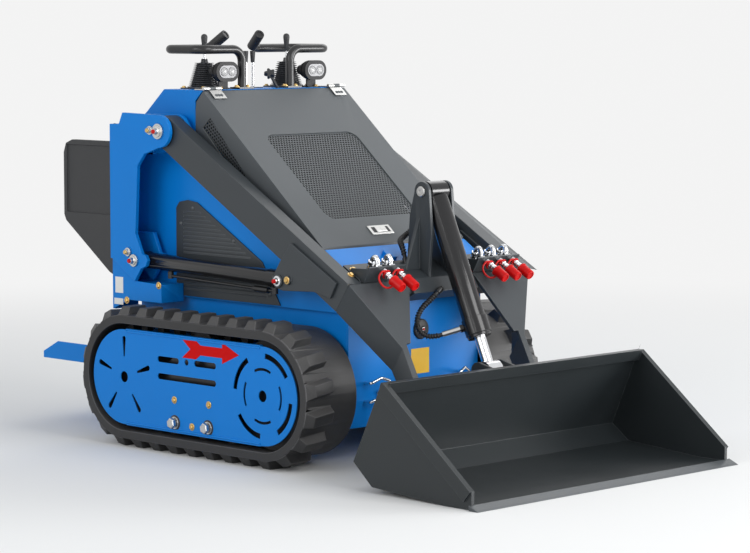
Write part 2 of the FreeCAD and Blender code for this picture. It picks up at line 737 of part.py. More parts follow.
towerUpper = prism("TowerUpper", [
    (bodyRearY, liftBaseZ), (bodyRearY, consoleRearZ), (bodyRearY - 39, consoleRearZ + 1),
    (bodyRearY - 54, towerTopZ), (armPinY, armPinZ + earR), (armPinY, armPinZ - earR),
    (armPinY + 61, armPinZ - 63), (armPinY + 90, armPinZ - 96), (liftBaseY - 3, liftBaseZ + 73),
    (liftBaseY + 40, liftBaseZ)], towerOutX, towerOutX + towerThick)
boxTopZ = size("boxTopZ", 441)
boxFrontY = size("boxFrontY", 335)
boxLowZ = size("boxLowZ", 387)
boxRearLowZ = size("boxRearLowZ", 358)
fenderThick = size("fenderThick", 5)
panelThick = size("panelThick", 5)
panelOutX = towerOutX + fenderThick
fender = prism("FenderPanel", [
    (boxFrontY, boxLowZ), (boxFrontY, boxTopZ - 4), (liftBaseY + 1, boxTopZ), (liftBaseY + 40, liftBaseZ),
    (bodyRearY, liftBaseZ), (bodyRearY, boxRearLowZ), (bodyRearY - 68, boxLowZ)], towerOutX, panelOutX)
fenderTopZ = boxTopZ - 4
fenderTop = box("FenderTop", bodyHalf + panelThick, towerOutX, boxFrontY, towerBackY,
                fenderTopZ - fenderThick, fenderTopZ)
fenderFront = box("FenderFront", bodyHalf + panelThick, towerOutX, boxFrontY, boxFrontY + fenderThick,
                  boxLowZ, fenderTopZ)
towerBack = box("TowerBack", bodyHalf, towerOutX, towerBackY, bodyRearY, boxRearLowZ, consoleRearZ)
innerTop = prism("TowerInnerTop", [
    (towerBackY, armPinZ - 72), (towerBackY, consoleRearZ), (armPinY + 100, armPinZ + earR),
    (armPinY, armPinZ + earR), (armPinY, armPinZ - earR), (armPinY + 61, armPinZ - 63)],
    towerInX, towerInX + towerThick)
stiffenerZ = size("stiffenerZ", 786)
stiffenerThick = size("stiffenerThick", 8)
stiffener = box("TowerStiffener", bodyHalf, towerOutX, liftBaseY - 7, towerBackY,
                stiffenerZ, stiffenerZ + stiffenerThick)
tower = fuse("TowerLeft", towerUpper, stiffener,
             rodX("TowerEar", armPinY, armPinZ, earR, towerOutX, towerOutX + towerThick),
             liftEar("LiftEarOuter", towerOutX, towerOutX + towerThick),
             fender, fenderTop, fenderFront, towerBack, innerTop,
             rodX("TowerInnerEar", armPinY, armPinZ, earR, towerInX, towerInX + towerThick),
             liftEar("LiftEarInner", towerInX, towerInX + towerThick),
             rodX("ArmPinBoss", armPinY, armPinZ, 30, bodyHalf, towerInX),
             rodX("LiftPinBoss", liftBaseY, liftBaseZ, 20, bodyHalf, towerInX))
pinLipX = size("pinLipX", 6)


def keeper(name, y, z, radius, innerX, outerX, boltY, boltZ):
    """Pin with its teardrop keeper plate and bolt head on the outer face."""
    plateX = outerX + pinLipX
    return [rodX(name + "Pin", y, z, radius, innerX, plateX + 3),
            rodX(name + "Plate", y, z, radius + 5, outerX, plateX),
            rodX(name + "BoltPlate", y + boltY, z + boltZ, 12, outerX, plateX),
            rodX(name + "BoltHead", y + boltY, z + boltZ, 8, plateX - 1, plateX + 6)]


towerPins = fuse("TowerPinsLeft",
                 *keeper("ArmPin", armPinY, armPinZ, armPinR, towerInX, towerOutX + towerThick, 32, 2),
                 *keeper("LiftPin", liftBaseY, liftBaseZ, liftPinR, towerInX, towerOutX + towerThick, 24, 22))
towerBored = cut("TowerBored", tower,
                 rodX("ArmPinBore", armPinY, armPinZ, armPinR + pinFit, towerInX - 2, towerOutX + towerThick + 2),
                 rodX("LiftPinBore", liftBaseY, liftBaseZ, liftPinR + pinFit, towerInX - 2,
                      towerOutX + towerThick + 2))
pair("tower", towerBored)
node("tower_pins", bothSides("TowerPins", towerPins))

# Side pads, access panels
padRearY = size("padRearY", 755)
padTopZ = size("padTopZ", 818)
padLowZ = size("padLowZ", 602)
padFrontLowZ = size("padFrontLowZ", 440)
padInX = towerOutX - padThick
pad = prism("PadLeft", [
    (bodyRearY, padTopZ), (padRearY - 36, padTopZ), (padRearY - 10, padTopZ - 10), (padRearY, padTopZ - 36),
    (padRearY, padLowZ + 6), (padRearY - 8, padLowZ - 10), (bodyRearY + 20, padFrontLowZ + 18),
    (bodyRearY, padFrontLowZ + 10)], padInX, padInX + padThick)
padRimDeep = size("padRimDeep", 4)
padRoom = box("PadRoom", padInX + padThick - padRimDeep, padInX + padThick + 1, bodyRearY + 14, padRearY - 14,
              padLowZ + 14, padTopZ - 14)
node("side_pads", bothSides("SidePads", cut("PadRimmed", pad, padRoom)))

panelRearY = size("panelRearY", 365)
panelTopZ = size("panelTopZ", 664)
panelFrontY = size("panelFrontY", -48)
panelKneeY = size("panelKneeY", 22)
panelKneeZ = size("panelKneeZ", 514)
panel = prism("AccessPanelLeft", [
    (panelRearY, tubTopZ + seamGap), (panelRearY, panelTopZ - 22), (panelRearY - 13, panelTopZ - 6),
    (panelRearY - 47, panelTopZ), (panelRearY - 85, panelTopZ - 5), (panelKneeY, panelKneeZ),
    (panelFrontY, tubTopZ + seamGap)], bodyHalf, bodyHalf + panelThick)
node("access_panels", bothSides("AccessPanels", panel))

# Controls on the console
handleR = size("handleR", 12)
basePlate = size("basePlate", 5)
handleX = size("handleX", 90)
handleY = size("handleY", 291)
handleHigh = size("handleHigh", 108)
handleTopZ = consoleTopZ + handleHigh
handleOut = size("handleOut", 148)
handleBack = size("handleBack", 148)
handleIn = size("handleIn", 159)
handleBend = size("handleBend", 34)


gripLean = size("gripLean", 15)
gripForward = size("gripForward", 52)
gripRise = size("gripRise", 39)


def handlePath():
    x, y, z = float(handleX), float(handleY), float(handleTopZ)
    low = float(consoleTopZ + basePlate)
    out, back, inward = float(handleOut), float(handleBack), float(handleIn)
    lean, forward, rise = float(gripLean), float(gripForward), float(gripRise)
    return [Vector(x, y, low), Vector(x, y, z), Vector(x + out, y, z), Vector(x + out, y + back, z),
            Vector(x + out - inward, y + back, z),
            Vector(x + out - inward - lean, y + back - forward, z + rise)]


handleRoute = handlePath()
handleBends = [float(handleBend)] * (len(handleRoute) - 2)
handle = feature("HandleTube", bentTube(handleRoute, float(handleR), handleBends)[1])
handleLeft = fuse("HandleLeft", handle,
                  box("HandleBase", handleX - 26, handleX + 26, handleY - 20, handleY + 20, consoleTopZ,
                      consoleTopZ + basePlate))
node("control_handles", bothSides("ControlHandles", handleLeft))

stickX = size("stickX", 154)
stickY = size("stickY", 373)
bootLowR = size("bootLowR", 42)
bootHighR = size("bootHighR", 25)
bootHigh = size("bootHigh", 70)
boot = coneZ("BootLeft", stickX, stickY, bootLowR, bootHighR, consoleTopZ, consoleTopZ + bootHigh)
node("joystick_boots", bothSides("JoystickBoots", boot))
stickR = size("stickR", 4)
knobR = size("knobR", 9)
knobLong = size("knobLong", 46)
stickHigh = size("stickHigh", 30)
stick = fuse("JoystickLeft",
             rodZ("StickRod", stickX, stickY, stickR, consoleTopZ + bootHigh,
                  consoleTopZ + bootHigh + stickHigh + 5),
             rodZ("StickKnob", stickX, stickY, knobR, consoleTopZ + bootHigh + stickHigh,
                  consoleTopZ + bootHigh + stickHigh + knobLong))
node("joysticks", bothSides("Joysticks", stick))
leverX = size("leverX", 13)
leverY = size("leverY", 360)
leverParts = []
for index, side in enumerate((-1, 1)):
    leverParts.append(rodZ(f"LeverRod{index}", leverX * side, leverY, stickR, consoleTopZ, consoleTopZ + 80))
    leverParts.append(rodZ(f"LeverGrip{index}", leverX * side, leverY, stickR + 3, consoleTopZ + 70,
                           consoleTopZ + 102))
node("console_levers", fuse("ConsoleLevers", *leverParts))
knob = fuse("ThrottleKnob", rodZ("ThrottleStem", 30, 280, 5, consoleTopZ, consoleTopZ + 32),
            rodZ("ThrottleStar", 30, 280, 14, consoleTopZ + 30, consoleTopZ + 42))
node("throttle_knob", knob)
lampX = size("lampX", 165)
lampY = size("lampY", 286)
lampLift = size("lampLift", 48)
lampZ = consoleTopZ + lampLift
lampWide = size("lampWide", 75)
lampHigh = size("lampHigh", 48)
lampDeep = size("lampDeep", 42)
lampReach = (lampWide - lampHigh) / 2
lampTurn = size("lampTurn", 0)
lamp = fuse("WorkLampLeft",
            rodY("LampInner", -lampReach, 0, lampHigh / 2, -lampDeep / 2, lampDeep / 2),
            rodY("LampOuter", lampReach, 0, lampHigh / 2, -lampDeep / 2, lampDeep / 2),
            box("LampMiddle", -lampReach, lampReach, -lampDeep / 2, lampDeep / 2, -lampHigh / 2, lampHigh / 2),
            box("LampFoot", -15, 15, -3, 1, -lampLift, -lampHigh / 2 + 5))
place(lamp, lampX, lampY, lampZ, Rotation(Vector(0, 0, 1), float(lampTurn)))
bind(lamp, "Placement.Rotation.Angle", lampTurn)
node("work_lamps", bothSides("WorkLamps", lamp))

# Hood
hoodOuter = prism("HoodOuter", [
    (hoodTopY, hoodTopZ), (hoodRearY - 3, hoodTopZ - hoodNoseDrop), (hoodRearY, hoodTopZ - hoodNoseDrop - 20),
    (hoodRearY, hoodCheekZ), (hoodLowY, hoodLowZ - 20), (hoodLowY, hoodLowZ)], -hoodHalf, hoodHalf)
hoodRoom = prism("HoodRoom", [
    (hoodTopY + 2, hoodTopZ - hoodSheet - 2), (hoodTopY + 100, hoodTopZ - hoodSheet - 2),
    (hoodTopY + 100, hoodLowZ - 100), (hoodLowY + hoodSheet, hoodLowZ - 100),
    (hoodLowY + hoodSheet, hoodLowZ - hoodSheet)], -hoodHalf + hoodSheet, hoodHalf - hoodSheet)
slopeDy, slopeDz = hoodLowY - hoodTopY, hoodLowZ - hoodTopZ
slopeLong = root(slopeDy * slopeDy + slopeDz * slopeDz)


def onHood(along, off):
    """Point at a distance down the hood's front slope and off its outer face."""
    return (hoodTopY + (slopeDy * along + slopeDz * off) / slopeLong,
            hoodTopZ + (slopeDz * along - slopeDy * off) / slopeLong)


def slopeBlock(name, x0, x1, top, low, deep, proud):
    return prism(name, [onHood(top, deep), onHood(top, proud), onHood(low, proud), onHood(low, deep)], x0, x1)


windowHalf = size("windowHalf", 168)
windowTop = size("windowTop", 178)
windowLow = size("windowLow", 508)
windowCorner = size("windowCorner", 32)
meshGap = size("meshGap", 0.3)
meshDeep = size("meshDeep", 5)
meshProud = size("meshProud", 2)
cutDeep = size("cutDeep", 9)


def roundedWindow(name, shrink, deep, proud):
    """Block with round corners through the hood's front slope."""
    half, top, low = windowHalf - shrink, windowTop + shrink, windowLow - shrink
    corner = windowCorner - shrink
    corners = [rodAlong(f"{name}Corner{index}", (half - corner) * side, onHood(along, deep), onHood(along, proud),
                        corner, 0, sized(proud) - deep)
               for index, (side, along) in enumerate(((-1, top + corner), (1, top + corner),
                                                      (-1, low - corner), (1, low - corner)))]
    return fuse(name, slopeBlock(name + "Tall", -half + corner, half - corner, top, low, deep, proud),
                slopeBlock(name + "Wide", -half, half, top + corner, low - corner, deep, proud), *corners)


def cheekBand(name, margin, x0, x1):
    """Slanting band in the hood's cheek, between two lines that run with its front slope."""
    return prism(name, [onHood(68 - margin, -36.5 + margin), onHood(64 - margin, -76 - margin),
                        onHood(268 + margin, -88 - margin), onHood(269 + margin, -58 + margin)], x0, x1)


hingeR = size("hingeR", 5)
hingePinR = size("hingePinR", 2.5)
hingeInX = size("hingeInX", 201)
hingeThird = size("hingeThird", 21)
hingeGap = size("hingeGap", 0.5)
leafThick = size("leafThick", 3)
leafLong = size("leafLong", 36)
hingeMidX = (hingeInX + hingeThird + hingeGap, hingeInX + 2 * hingeThird - hingeGap)
hoodLeaf = fuse("HoodLeaf", slopeBlock("HoodLeafPlate", *hingeMidX, 0, leafLong, 0, leafThick),
                rodX("HoodKnuckle", hoodHingeY, hoodHingeZ, hingeR, *hingeMidX))
hoodCheekCut = cheekBand("CheekCut", 0, hoodHalf - hoodSheet - 1, hoodHalf + 1)
hoodShell = cut("HoodShell", hoodOuter, hoodRoom, roundedWindow("WindowCut", 0, -cutDeep, 2), hoodCheekCut,
                mirror("CheekCutTwin", hoodCheekCut))
node("hood_lid", cut("HoodLid", fuse("HoodLeaved", hoodShell, hoodLeaf, mirror("HoodLeafTwin", hoodLeaf)),
                     rodX("HingeBore", hoodHingeY, hoodHingeZ, hingePinR + pinFit, -hoodHalf, hoodHalf)))
cheekMesh = cheekBand("CheekMesh", -meshGap, hoodHalf - hoodSheet, hoodHalf - meshProud / 2)
node("hood_mesh", compound("HoodMesh", roundedWindow("WindowMesh", meshGap, -meshDeep, -meshProud), cheekMesh,
                           mirror("CheekMeshTwin", cheekMesh)))
hingeHighX = hingeInX + 3 * hingeThird
fixedLeaf = fuse("FixedLeaf",
                 box("FixedLeafPlate", hingeInX, hingeHighX, hoodHingeY + leafThick + hingeR, hoodHingeY + leafLong,
                     consoleTopZ, consoleTopZ + leafThick),
                 rodX("HingePin", hoodHingeY, hoodHingeZ, hingePinR, hingeInX, hingeHighX))
hingeEnds = []
for index, low in enumerate((hingeInX, hingeInX + 2 * hingeThird)):
    hingeEnds.append(rodX(f"FixedKnuckle{index}", hoodHingeY, hoodHingeZ, hingeR, low, low + hingeThird))
    hingeEnds.append(box(f"FixedTongue{index}", low, low + hingeThird, hoodHingeY + 1, hoodHingeY + leafLong / 2,
                         consoleTopZ, consoleTopZ + leafThick))
node("hood_hinges", bothSides("HoodHinges", fuse("HoodHingeLeft", fixedLeaf, *hingeEnds)))
latchX = size("latchX", -18)
latchHalf = size("latchHalf", 34)
latchInset = size("latchInset", 47)
latchAlong = slopeLong - latchInset
latchThick = size("latchThick", 2)
node("hood_latch", fuse(
    "HoodLatch",
    slopeBlock("LatchPlate", latchX - latchHalf, latchX + latchHalf, latchAlong - 15, latchAlong + 15, 0, latchThick),
    slopeBlock("LatchLever", latchX - latchHalf + 12, latchX + latchHalf - 12, latchAlong - 6, latchAlong + 6,
               latchThick, latchThick + 5)))

# Arms
tipMidY = (armTipTopY + armTipLowY) / 2
tipMidZ = (armTipTopZ + armTipLowZ) / 2
armDy, armDz = tipMidY - armPinY, tipMidZ - armPinZ
armLong = root(armDy * armDy + armDz * armDz)
upY, upZ = armDz / armLong * armRearR, -armDy / armLong * armRearR
armBeam = prism("ArmBeam", [
    (armPinY + upY, armPinZ + upZ), (armTipTopY, armTipTopZ), (armTipLowY, armTipLowZ),
    (armPinY - upY, armPinZ - upZ)], armInX, armOutX)
armBlank = fuse("ArmBlank", armBeam, rodX("ArmRearEnd", armPinY, armPinZ, armRearR, armInX, armOutX))
armBored = cut("ArmBored", armBlank,
               rodX("ArmBore", armPinY, armPinZ, armPinR + pinFit, armInX - 2, armOutX + 2))


def gusset(name, x0, x1):
    return prism(name, [
        (liftEyeY + 27, liftEyeZ + 6), (liftEyeY - 3, liftEyeZ + 50), (liftEyeY - 44, liftEyeZ + 100),
        (armTipTopY + 38, armTipTopZ + 2), (armTipLowY + 14, armTipLowZ + 33), (liftEyeY - 128, liftEyeZ - 20),
        (liftEyeY - 14, liftEyeZ - 25), (liftEyeY + 16, liftEyeZ - 18)], x0, x1)


gussets = fuse("ArmGussetLeft",
               gusset("GussetOuter", armOutX, armOutX + gussetThick),
               gusset("GussetInner", armInX - gussetThick, armInX),
               rodX("EyeKeeperPlate", liftEyeY, liftEyeZ, 17, armOutX + gussetThick,
                    armOutX + gussetThick + pinLipX),
               rodX("EyeKeeperBolt", liftEyeY - 36, liftEyeZ + 4, 12, armOutX + gussetThick,
                    armOutX + gussetThick + pinLipX))
node("arm_gussets", bothSides("ArmGussets", gussets))


def knuckleShape():
    """Slanting side plate and front plate that lead from the arm's end inward to the leg."""
    top = float(armTipTopZ)
    low = float(knuckleLowZ)
    topY, lowY = float(armTipTopY), float(knuckleLowY)
    slope = (lowY - topY) / (low - top)
    outX, legX = float(armOutX), float(legOutX)
    front = [Vector(float(knuckleInX), topY, top), Vector(outX, topY, top), Vector(legX, lowY, low),
             Vector(legX, lowY - slope * 5, low - 5), Vector(legX - float(legThick), lowY - slope * 5, low - 5),
             Vector(legX - float(legThick), lowY + slope * 10, low + 10), Vector(195, lowY + slope * 10, low + 10)]
    normal = Vector(0, -(low - top), lowY - topY).normalize()
    if normal.y < 0:
        normal = -normal
    thick = float(plateThick)
    frontPlate = Part.Face(Part.makePolygon(front + front[:1])).extrude(normal * thick)
    sideTop = Vector(outX, float(armTipLowY), float(armTipLowZ))
    sideLow = Vector(legX, lowY + 35, low - 63)
    corners = [Vector(outX, topY, top), sideTop, sideLow, Vector(legX, lowY, low)]
    across = (corners[1] - corners[0]).cross(corners[3] - corners[0]).normalize()
    if across.x > 0:
        across = -across
    first = Part.Face(Part.makePolygon([corners[0], corners[1], corners[3], corners[0]])).extrude(across * thick)
    second = Part.Face(Part.makePolygon([corners[1], corners[2], corners[3], corners[1]])).extrude(across * thick)
    return frontPlate.fuse([first, second])


legInX = legOutX - legThick
leg = prism("LegPlate", [
    (knuckleLowY, knuckleLowZ), (bucketPinY - legEndR + 2, bucketPinZ + 24), (bucketPinY - legEndR, bucketPinZ),
    (bucketPinY + legEndR, bucketPinZ), (bucketPinY + legEndR + 5, bucketPinZ + 20),
    (knuckleLowY + 37, knuckleLowZ - 63)], legInX, legOutX)
armKnuckle = feature("KnuckleLeft", knuckleShape())
pair("arm", cut("ArmEndCut", armBored, armKnuckle))
legBlank = fuse("LegBlank", leg, rodX("LegEnd", bucketPinY, bucketPinZ, legEndR, legInX, legOutX),
                armKnuckle)
pair("arm_leg", cut("LegBored", legBlank,
                    rodX("LegBore", bucketPinY, bucketPinZ, bucketPinR + pinFit, legInX - 2, legOutX + 2)))


deckSlope = (deckRearZ - armTipTopZ) / (deckRearY - armTipTopY)


def deckZ(y):
    return armTipTopZ + deckSlope * (sized(y) - armTipTopY)


# the ends of the cross member stop just behind the knuckle plates
seatGap = size("seatGap", 0.3)
knuckleDy, knuckleDz = knuckleLowY - armTipTopY, knuckleLowZ - armTipTopZ
knuckleRun = root(knuckleDy * knuckleDy + knuckleDz * knuckleDz)
backY = armTipTopY - knuckleDz / knuckleRun * (plateThick + seatGap)
backZ = armTipTopZ + knuckleDy / knuckleRun * (plateThick + seatGap)
backLean = knuckleDy / knuckleDz
backTopZ = (armTipTopZ + deckSlope * (backY - backZ * backLean - armTipTopY)) / (1 - deckSlope * backLean)
crossFaces = [(flangeLowY + 48, flangeLowZ - 25), (deckRearY, flangeLowZ), (deckRearY, deckRearZ)]
crossMiddle = prism("CrossMiddle", [(armTipTopY, armTipTopZ), (flangeLowY, flangeLowZ)] + crossFaces,
                    -knuckleInX, knuckleInX)
crossEnds = prism("CrossEnds", [
    (backY + (backTopZ - backZ) * backLean, backTopZ), (backY + (flangeLowZ - backZ) * backLean, flangeLowZ)]
    + crossFaces, -armInX + gussetThick + seatGap, armInX - gussetThick - seatGap)
crossMember = fuse("CrossMember", crossMiddle, crossEnds)
node("cross_member", crossMember)

tiltEarThick = size("tiltEarThick", 10)


def tiltEar(name, x0, x1):
    blade = prism(name + "Blade", [
        (deckRearY + 4, deckZ(deckRearY + 4)), (tiltPinY + 43, tiltPinZ - 63),
        (tiltPinY + tiltEarR, tiltPinZ),
        (tiltPinY - tiltEarR, tiltPinZ), (tiltPinY - 36, tiltPinZ - 110), (armTipTopY + 1, armTipTopZ + 24),
        (armTipTopY + 1, deckZ(armTipTopY + 1))], x0, x1)
    return fuse(name, blade, rodX(name + "Lobe", tiltPinY, tiltPinZ, tiltEarR, x0, x1))


def ribShape():
    """Triangular rib that props each ear from the side."""
    inner = float(tiltEarInX + tiltEarThick)
    y = float(tiltPinY) + 6
    base = float(deckZ(y)) - 3
    corners = [Vector(inner, y, base), Vector(inner + 50, y, base), Vector(inner + 44, y, base + 20),
               Vector(inner, y, base + 140)]
    return Part.Face(Part.makePolygon(corners + corners[:1])).extrude(Vector(0, 10, 0))


earOutX = tiltEarInX + tiltEarThick
ears = fuse("TiltBracketBlank", tiltEar("TiltEar", tiltEarInX, earOutX),
            mirror("TiltEarTwin", tiltEar("TiltEarSource", tiltEarInX, earOutX)),
            feature("TiltRib", ribShape()), mirror("TiltRibTwin", feature("TiltRibSource", ribShape())))
bracket = cut("TiltBracketCut", ears,
              rodX("TiltPinBore", tiltPinY, tiltPinZ, tiltPinR + pinFit, -earOutX - 2, earOutX + 2),
              crossMember)
node("tilt_bracket", bracket)
node("tilt_pin", rodX("TiltPin", tiltPinY, tiltPinZ, tiltPinR, -earOutX - 4, earOutX + 4))

# Hydraulic couplers on the cross member's deck
deckDy, deckDz = armTipTopY - deckRearY, armTipTopZ - deckRearZ
deckLong = root(deckDy * deckDy + deckDz * deckDz)


def onDeck(along, off):
    """Point at a distance forward of the deck's front edge, along its slope, and off its face."""
    return (armTipTopY + (deckDy * along + deckDz * off) / deckLong,
            armTipTopZ + (deckDz * along - deckDy * off) / deckLong)


couplerOff = size("couplerOff", 30)
couplerR = size("couplerR", 6)
couplerNutR = size("couplerNutR", 10)
couplerCapR = size("couplerCapR", 13.5)
couplerCapAlong = size("couplerCapAlong", 38)
couplerCapLong = size("couplerCapLong", 38)
bankPlateThick = size("bankPlateThick", 5)
bankPlateHigh = size("bankPlateHigh", 44)
bankFoot = size("bankFoot", 60)


def onCoupler(name, x, radius, low, high):
    return rodAlong(name, x, onDeck(-100, couplerOff), onDeck(100, couplerOff), radius, 100 + sized(low),
                    sized(high) - low)


def bank(name, x0, x1, places):
    """Upright plate with one gusset, and the bores for its couplers."""
    plate = prism(name + "Plate", [
        onDeck(-3, 0), onDeck(-3, bankPlateHigh), onDeck(-3 - bankPlateThick, bankPlateHigh),
        onDeck(-3 - bankPlateThick, 0)], x0, x1)
    side = prism(name + "Gusset", [
        onDeck(-5, 0), onDeck(-5, bankPlateHigh - 4), onDeck(-bankFoot, 8), onDeck(-bankFoot, 0)],
        x0, x0 + bankPlateThick)
    return cut(name, fuse(name + "Blank", plate, side),
               *[onCoupler(f"{name}Bore{index}", x, couplerR + pinFit, -20, 20) for index, x in enumerate(places)])


rightBank, leftBank = (-228, -180), (159, 208, 257)
node("coupler_brackets", compound("CouplerBrackets", bank("RightBank", -283, -150, rightBank),
                                  bank("LeftBank", 122, 283, leftBank)))
stems = []
caps = []
for index, x in enumerate(rightBank + leftBank):
    stems.append(fuse(f"Coupler{index}", onCoupler(f"Stem{index}", x, couplerR, -28, couplerCapAlong),
                      onCoupler(f"RearNut{index}", x, couplerNutR, -8 - couplerNutR, -3 - bankPlateThick),
                      onCoupler(f"FrontNut{index}", x, couplerNutR, -3, 6),
                      onCoupler(f"Sleeve{index}", x, couplerR + 2, 14, couplerCapAlong)))
    caps.append(fuse(f"DustCap{index}",
                     onCoupler(f"CapBody{index}", x, couplerCapR, couplerCapAlong, couplerCapAlong + couplerCapLong),
                     onCoupler(f"CapRim{index}", x, couplerCapR + 1.5, couplerCapAlong, couplerCapAlong + 4)))
node("couplers", compound("Couplers", *stems))
node("coupler_caps", compound("CouplerCaps", *caps))

# Lift cylinders
liftBase, liftEye = (liftBaseY, liftBaseZ), (liftEyeY, liftEyeZ)
eyeHalf = armWide / 2 - 3
liftCollarLong = size("liftCollarLong", 36)
liftBarrelEnd = liftBarrelLong + 18
liftBarrel = cut("LiftBarrelLeft",
                 fuse("LiftBarrelBlank",
                      rodAlong("LiftTube", armMidX, liftBase, liftEye, liftBarrelR, 18, liftBarrelLong),
                      rodAlong("LiftCollar", armMidX, liftBase, liftEye, liftBarrelR + 2,
                               liftBarrelEnd - liftCollarLong, liftCollarLong - sideGap),
                      rodX("LiftBaseEye", liftBaseY, liftBaseZ, liftEyeR, armMidX - eyeHalf, armMidX + eyeHalf)),
                 rodX("LiftBaseBore", liftBaseY, liftBaseZ, liftPinR + pinFit, armInX - 5, armOutX + 5),
                 rodAlong("LiftRodRoom", armMidX, liftBase, liftEye, liftRodR + pinFit, 60, liftBarrelLong))
pair("lift_barrel", liftBarrel)
pipeR = size("pipeR", 4)
pipeDrop = size("pipeDrop", 12)
pipeRearAlong = size("pipeRearAlong", 106)
pipeZ = liftBarrelR + pipeDrop
pipeStart, pipeEnd = (liftBaseY, liftBaseZ - pipeZ), (liftEyeY, liftEyeZ - pipeZ)


def pipePort(name, along, radius):
    """Round port from the barrel, of that radius there, down to the pipe."""
    axisZ = liftBaseZ - (liftBaseZ - liftEyeZ) / (liftBaseY - liftEyeY) * along
    return rodZ(name, armMidX, liftBaseY - along, pipeR + 4, axisZ - pipeZ - pipeR - 3, axisZ - radius - seatGap)


liftPipe = fuse("LiftPipeLeft",
                rodAlong("PipeRun", armMidX, pipeStart, pipeEnd, pipeR, pipeRearAlong,
                         liftBarrelEnd - liftCollarLong / 2 - pipeRearAlong),
                rodAlong("PipeFitting", armMidX, pipeStart, pipeEnd, pipeR + 4, liftBarrelEnd - 95, 52),
                pipePort("PipeRearPort", pipeRearAlong, liftBarrelR),
                pipePort("PipeFrontPort", liftBarrelEnd - liftCollarLong / 2, liftBarrelR + 2))
pair("lift_pipe", liftPipe)
liftRun = root((liftEyeY - liftBaseY) * (liftEyeY - liftBaseY) + (liftEyeZ - liftBaseZ) * (liftEyeZ - liftBaseZ))
liftRodLong = liftRun - 70
liftRod = fuse("LiftRodLeft",
               rodAlong("LiftRodBar", armMidX, liftBase, liftEye, liftRodR, 70, liftRodLong - 5),
               rodX("LiftRodEye", liftEyeY, liftEyeZ, liftEyeR, armMidX - eyeHalf, armMidX + eyeHalf),
               rodX("LiftRodPin", liftEyeY, liftEyeZ, liftPinR, armInX + 0.3, armOutX - 0.3))
pair("lift_rod", liftRod)

# Tilt cylinder
tiltBase, tiltEye = (tiltPinY, tiltPinZ), (tiltEyeY, tiltEyeZ)
tiltEyeHalf = tiltEarInX - 5
tiltBarrelSkip = tiltEarR - 6
tiltBarrelEnd = tiltBarrelLong + 30
portR = size("portR", 10)
portHigh = size("portHigh", 11)
portAlong = (size("upperPortAlong", 60), size("lowerPortAlong", 370))
portTurn = (size("upperPortTurn", 0), size("lowerPortTurn", 45))
tiltAxis = Vector(0, float(tiltEyeY - tiltPinY), float(tiltEyeZ - tiltPinZ)).normalize()
tiltBack = Vector(0, -tiltAxis.z, tiltAxis.y)


def portPoint(index, off):
    """Point on a port's axis: that far from the barrel's axis."""
    turn = math.radians(float(portTurn[index]))
    outward = Vector(-math.sin(turn), 0, 0) + tiltBack * math.cos(turn)
    base = Vector(0, float(tiltPinY), float(tiltPinZ)) + tiltAxis * float(portAlong[index])
    return base + outward * float(off)


def portRod(name, index, radius, low, high):
    start, end = portPoint(index, low), portPoint(index, high)
    return feature(name, Part.makeCylinder(float(radius), (end - start).Length, start, end - start))


tiltBarrel = cut("TiltBarrelCut",
                 fuse("TiltBarrelBlank",
                      rodAlong("TiltTube", 0, tiltBase, tiltEye, tiltBarrelR, tiltBarrelSkip,
                               tiltBarrelEnd - tiltBarrelSkip),
                      rodAlong("TiltGland", 0, tiltBase, tiltEye, tiltBarrelR + 3, tiltBarrelEnd - 52, 44),
                      portRod("UpperPort", 0, portR, tiltBarrelR - 5, tiltBarrelR + portHigh),
                      portRod("LowerPort", 1, portR, tiltBarrelR - 5, tiltBarrelR + portHigh),
                      rodX("TiltBaseEye", tiltPinY, tiltPinZ, tiltEarR, -tiltEyeHalf, tiltEyeHalf)),
                 rodX("TiltBaseBore", tiltPinY, tiltPinZ, tiltPinR + pinFit, -tiltEarInX, tiltEarInX),
                 rodAlong("TiltRodRoom", 0, tiltBase, tiltEye, tiltRodR + pinFit, 70, tiltBarrelLong))
node("tilt_barrel", tiltBarrel)
fittingR = size("fittingR", 7)
fittingEnd = (size("upperFittingEnd", 78), size("lowerFittingEnd", 90))
node("tilt_fittings", compound("TiltFittings", *[
    portRod(f"TiltFitting{index}", index, fittingR, tiltBarrelR + portHigh, fittingEnd[index]) for index in range(2)]))
hoseR = size("hoseR", 5)
hoseLead = 27
elbowR = size("elbowR", 8)
lowerEnd, upperEnd = Vector(-45, -408, 448), Vector(-68, -312, 534)
node("tilt_hose_upper", hose("TiltHoseUpper", [
    portPoint(0, fittingEnd[0]), portPoint(0, fittingEnd[0] + hoseLead), Vector(-13, -266, 590),
    Vector(-38, -266, 578), Vector(-61, -288, 572), Vector(-68, -306, 556), upperEnd], float(hoseR)))
node("tilt_hose_lower", hose("TiltHoseLower", [
    portPoint(1, fittingEnd[1]), portPoint(1, fittingEnd[1] + hoseLead), Vector(-102, -407, 343),
    Vector(-113, -398, 365), Vector(-110, -399, 391), Vector(-94, -402, 414), Vector(-69, -405, 430),
    lowerEnd], float(hoseR)))


def glandShape():
    """Elbow on the cross member's front face for the lower hose, and a gland on its deck for the upper one."""
    radius = float(elbowR)
    drop = Vector(24, -3, 18).normalize()
    corner = lowerEnd + drop * 14
    facing = Vector(0, float(flangeLowY - armTipTopY), float(flangeLowZ - armTipTopZ)).normalize()
    inward = Vector(0, -facing.z, facing.y)
    reach = (Vector(0, float(armTipTopY), float(armTipTopZ)) - corner).dot(inward)
    elbow = Part.makeCylinder(radius, 14, lowerEnd, drop).fuse([
        Part.makeSphere(radius, corner), Part.makeCylinder(radius, reach + 10, corner, inward)])
    gland = Part.makeCylinder(radius, 30, upperEnd, Vector(0, -6, -22))
    return Part.makeCompound([elbow, gland])


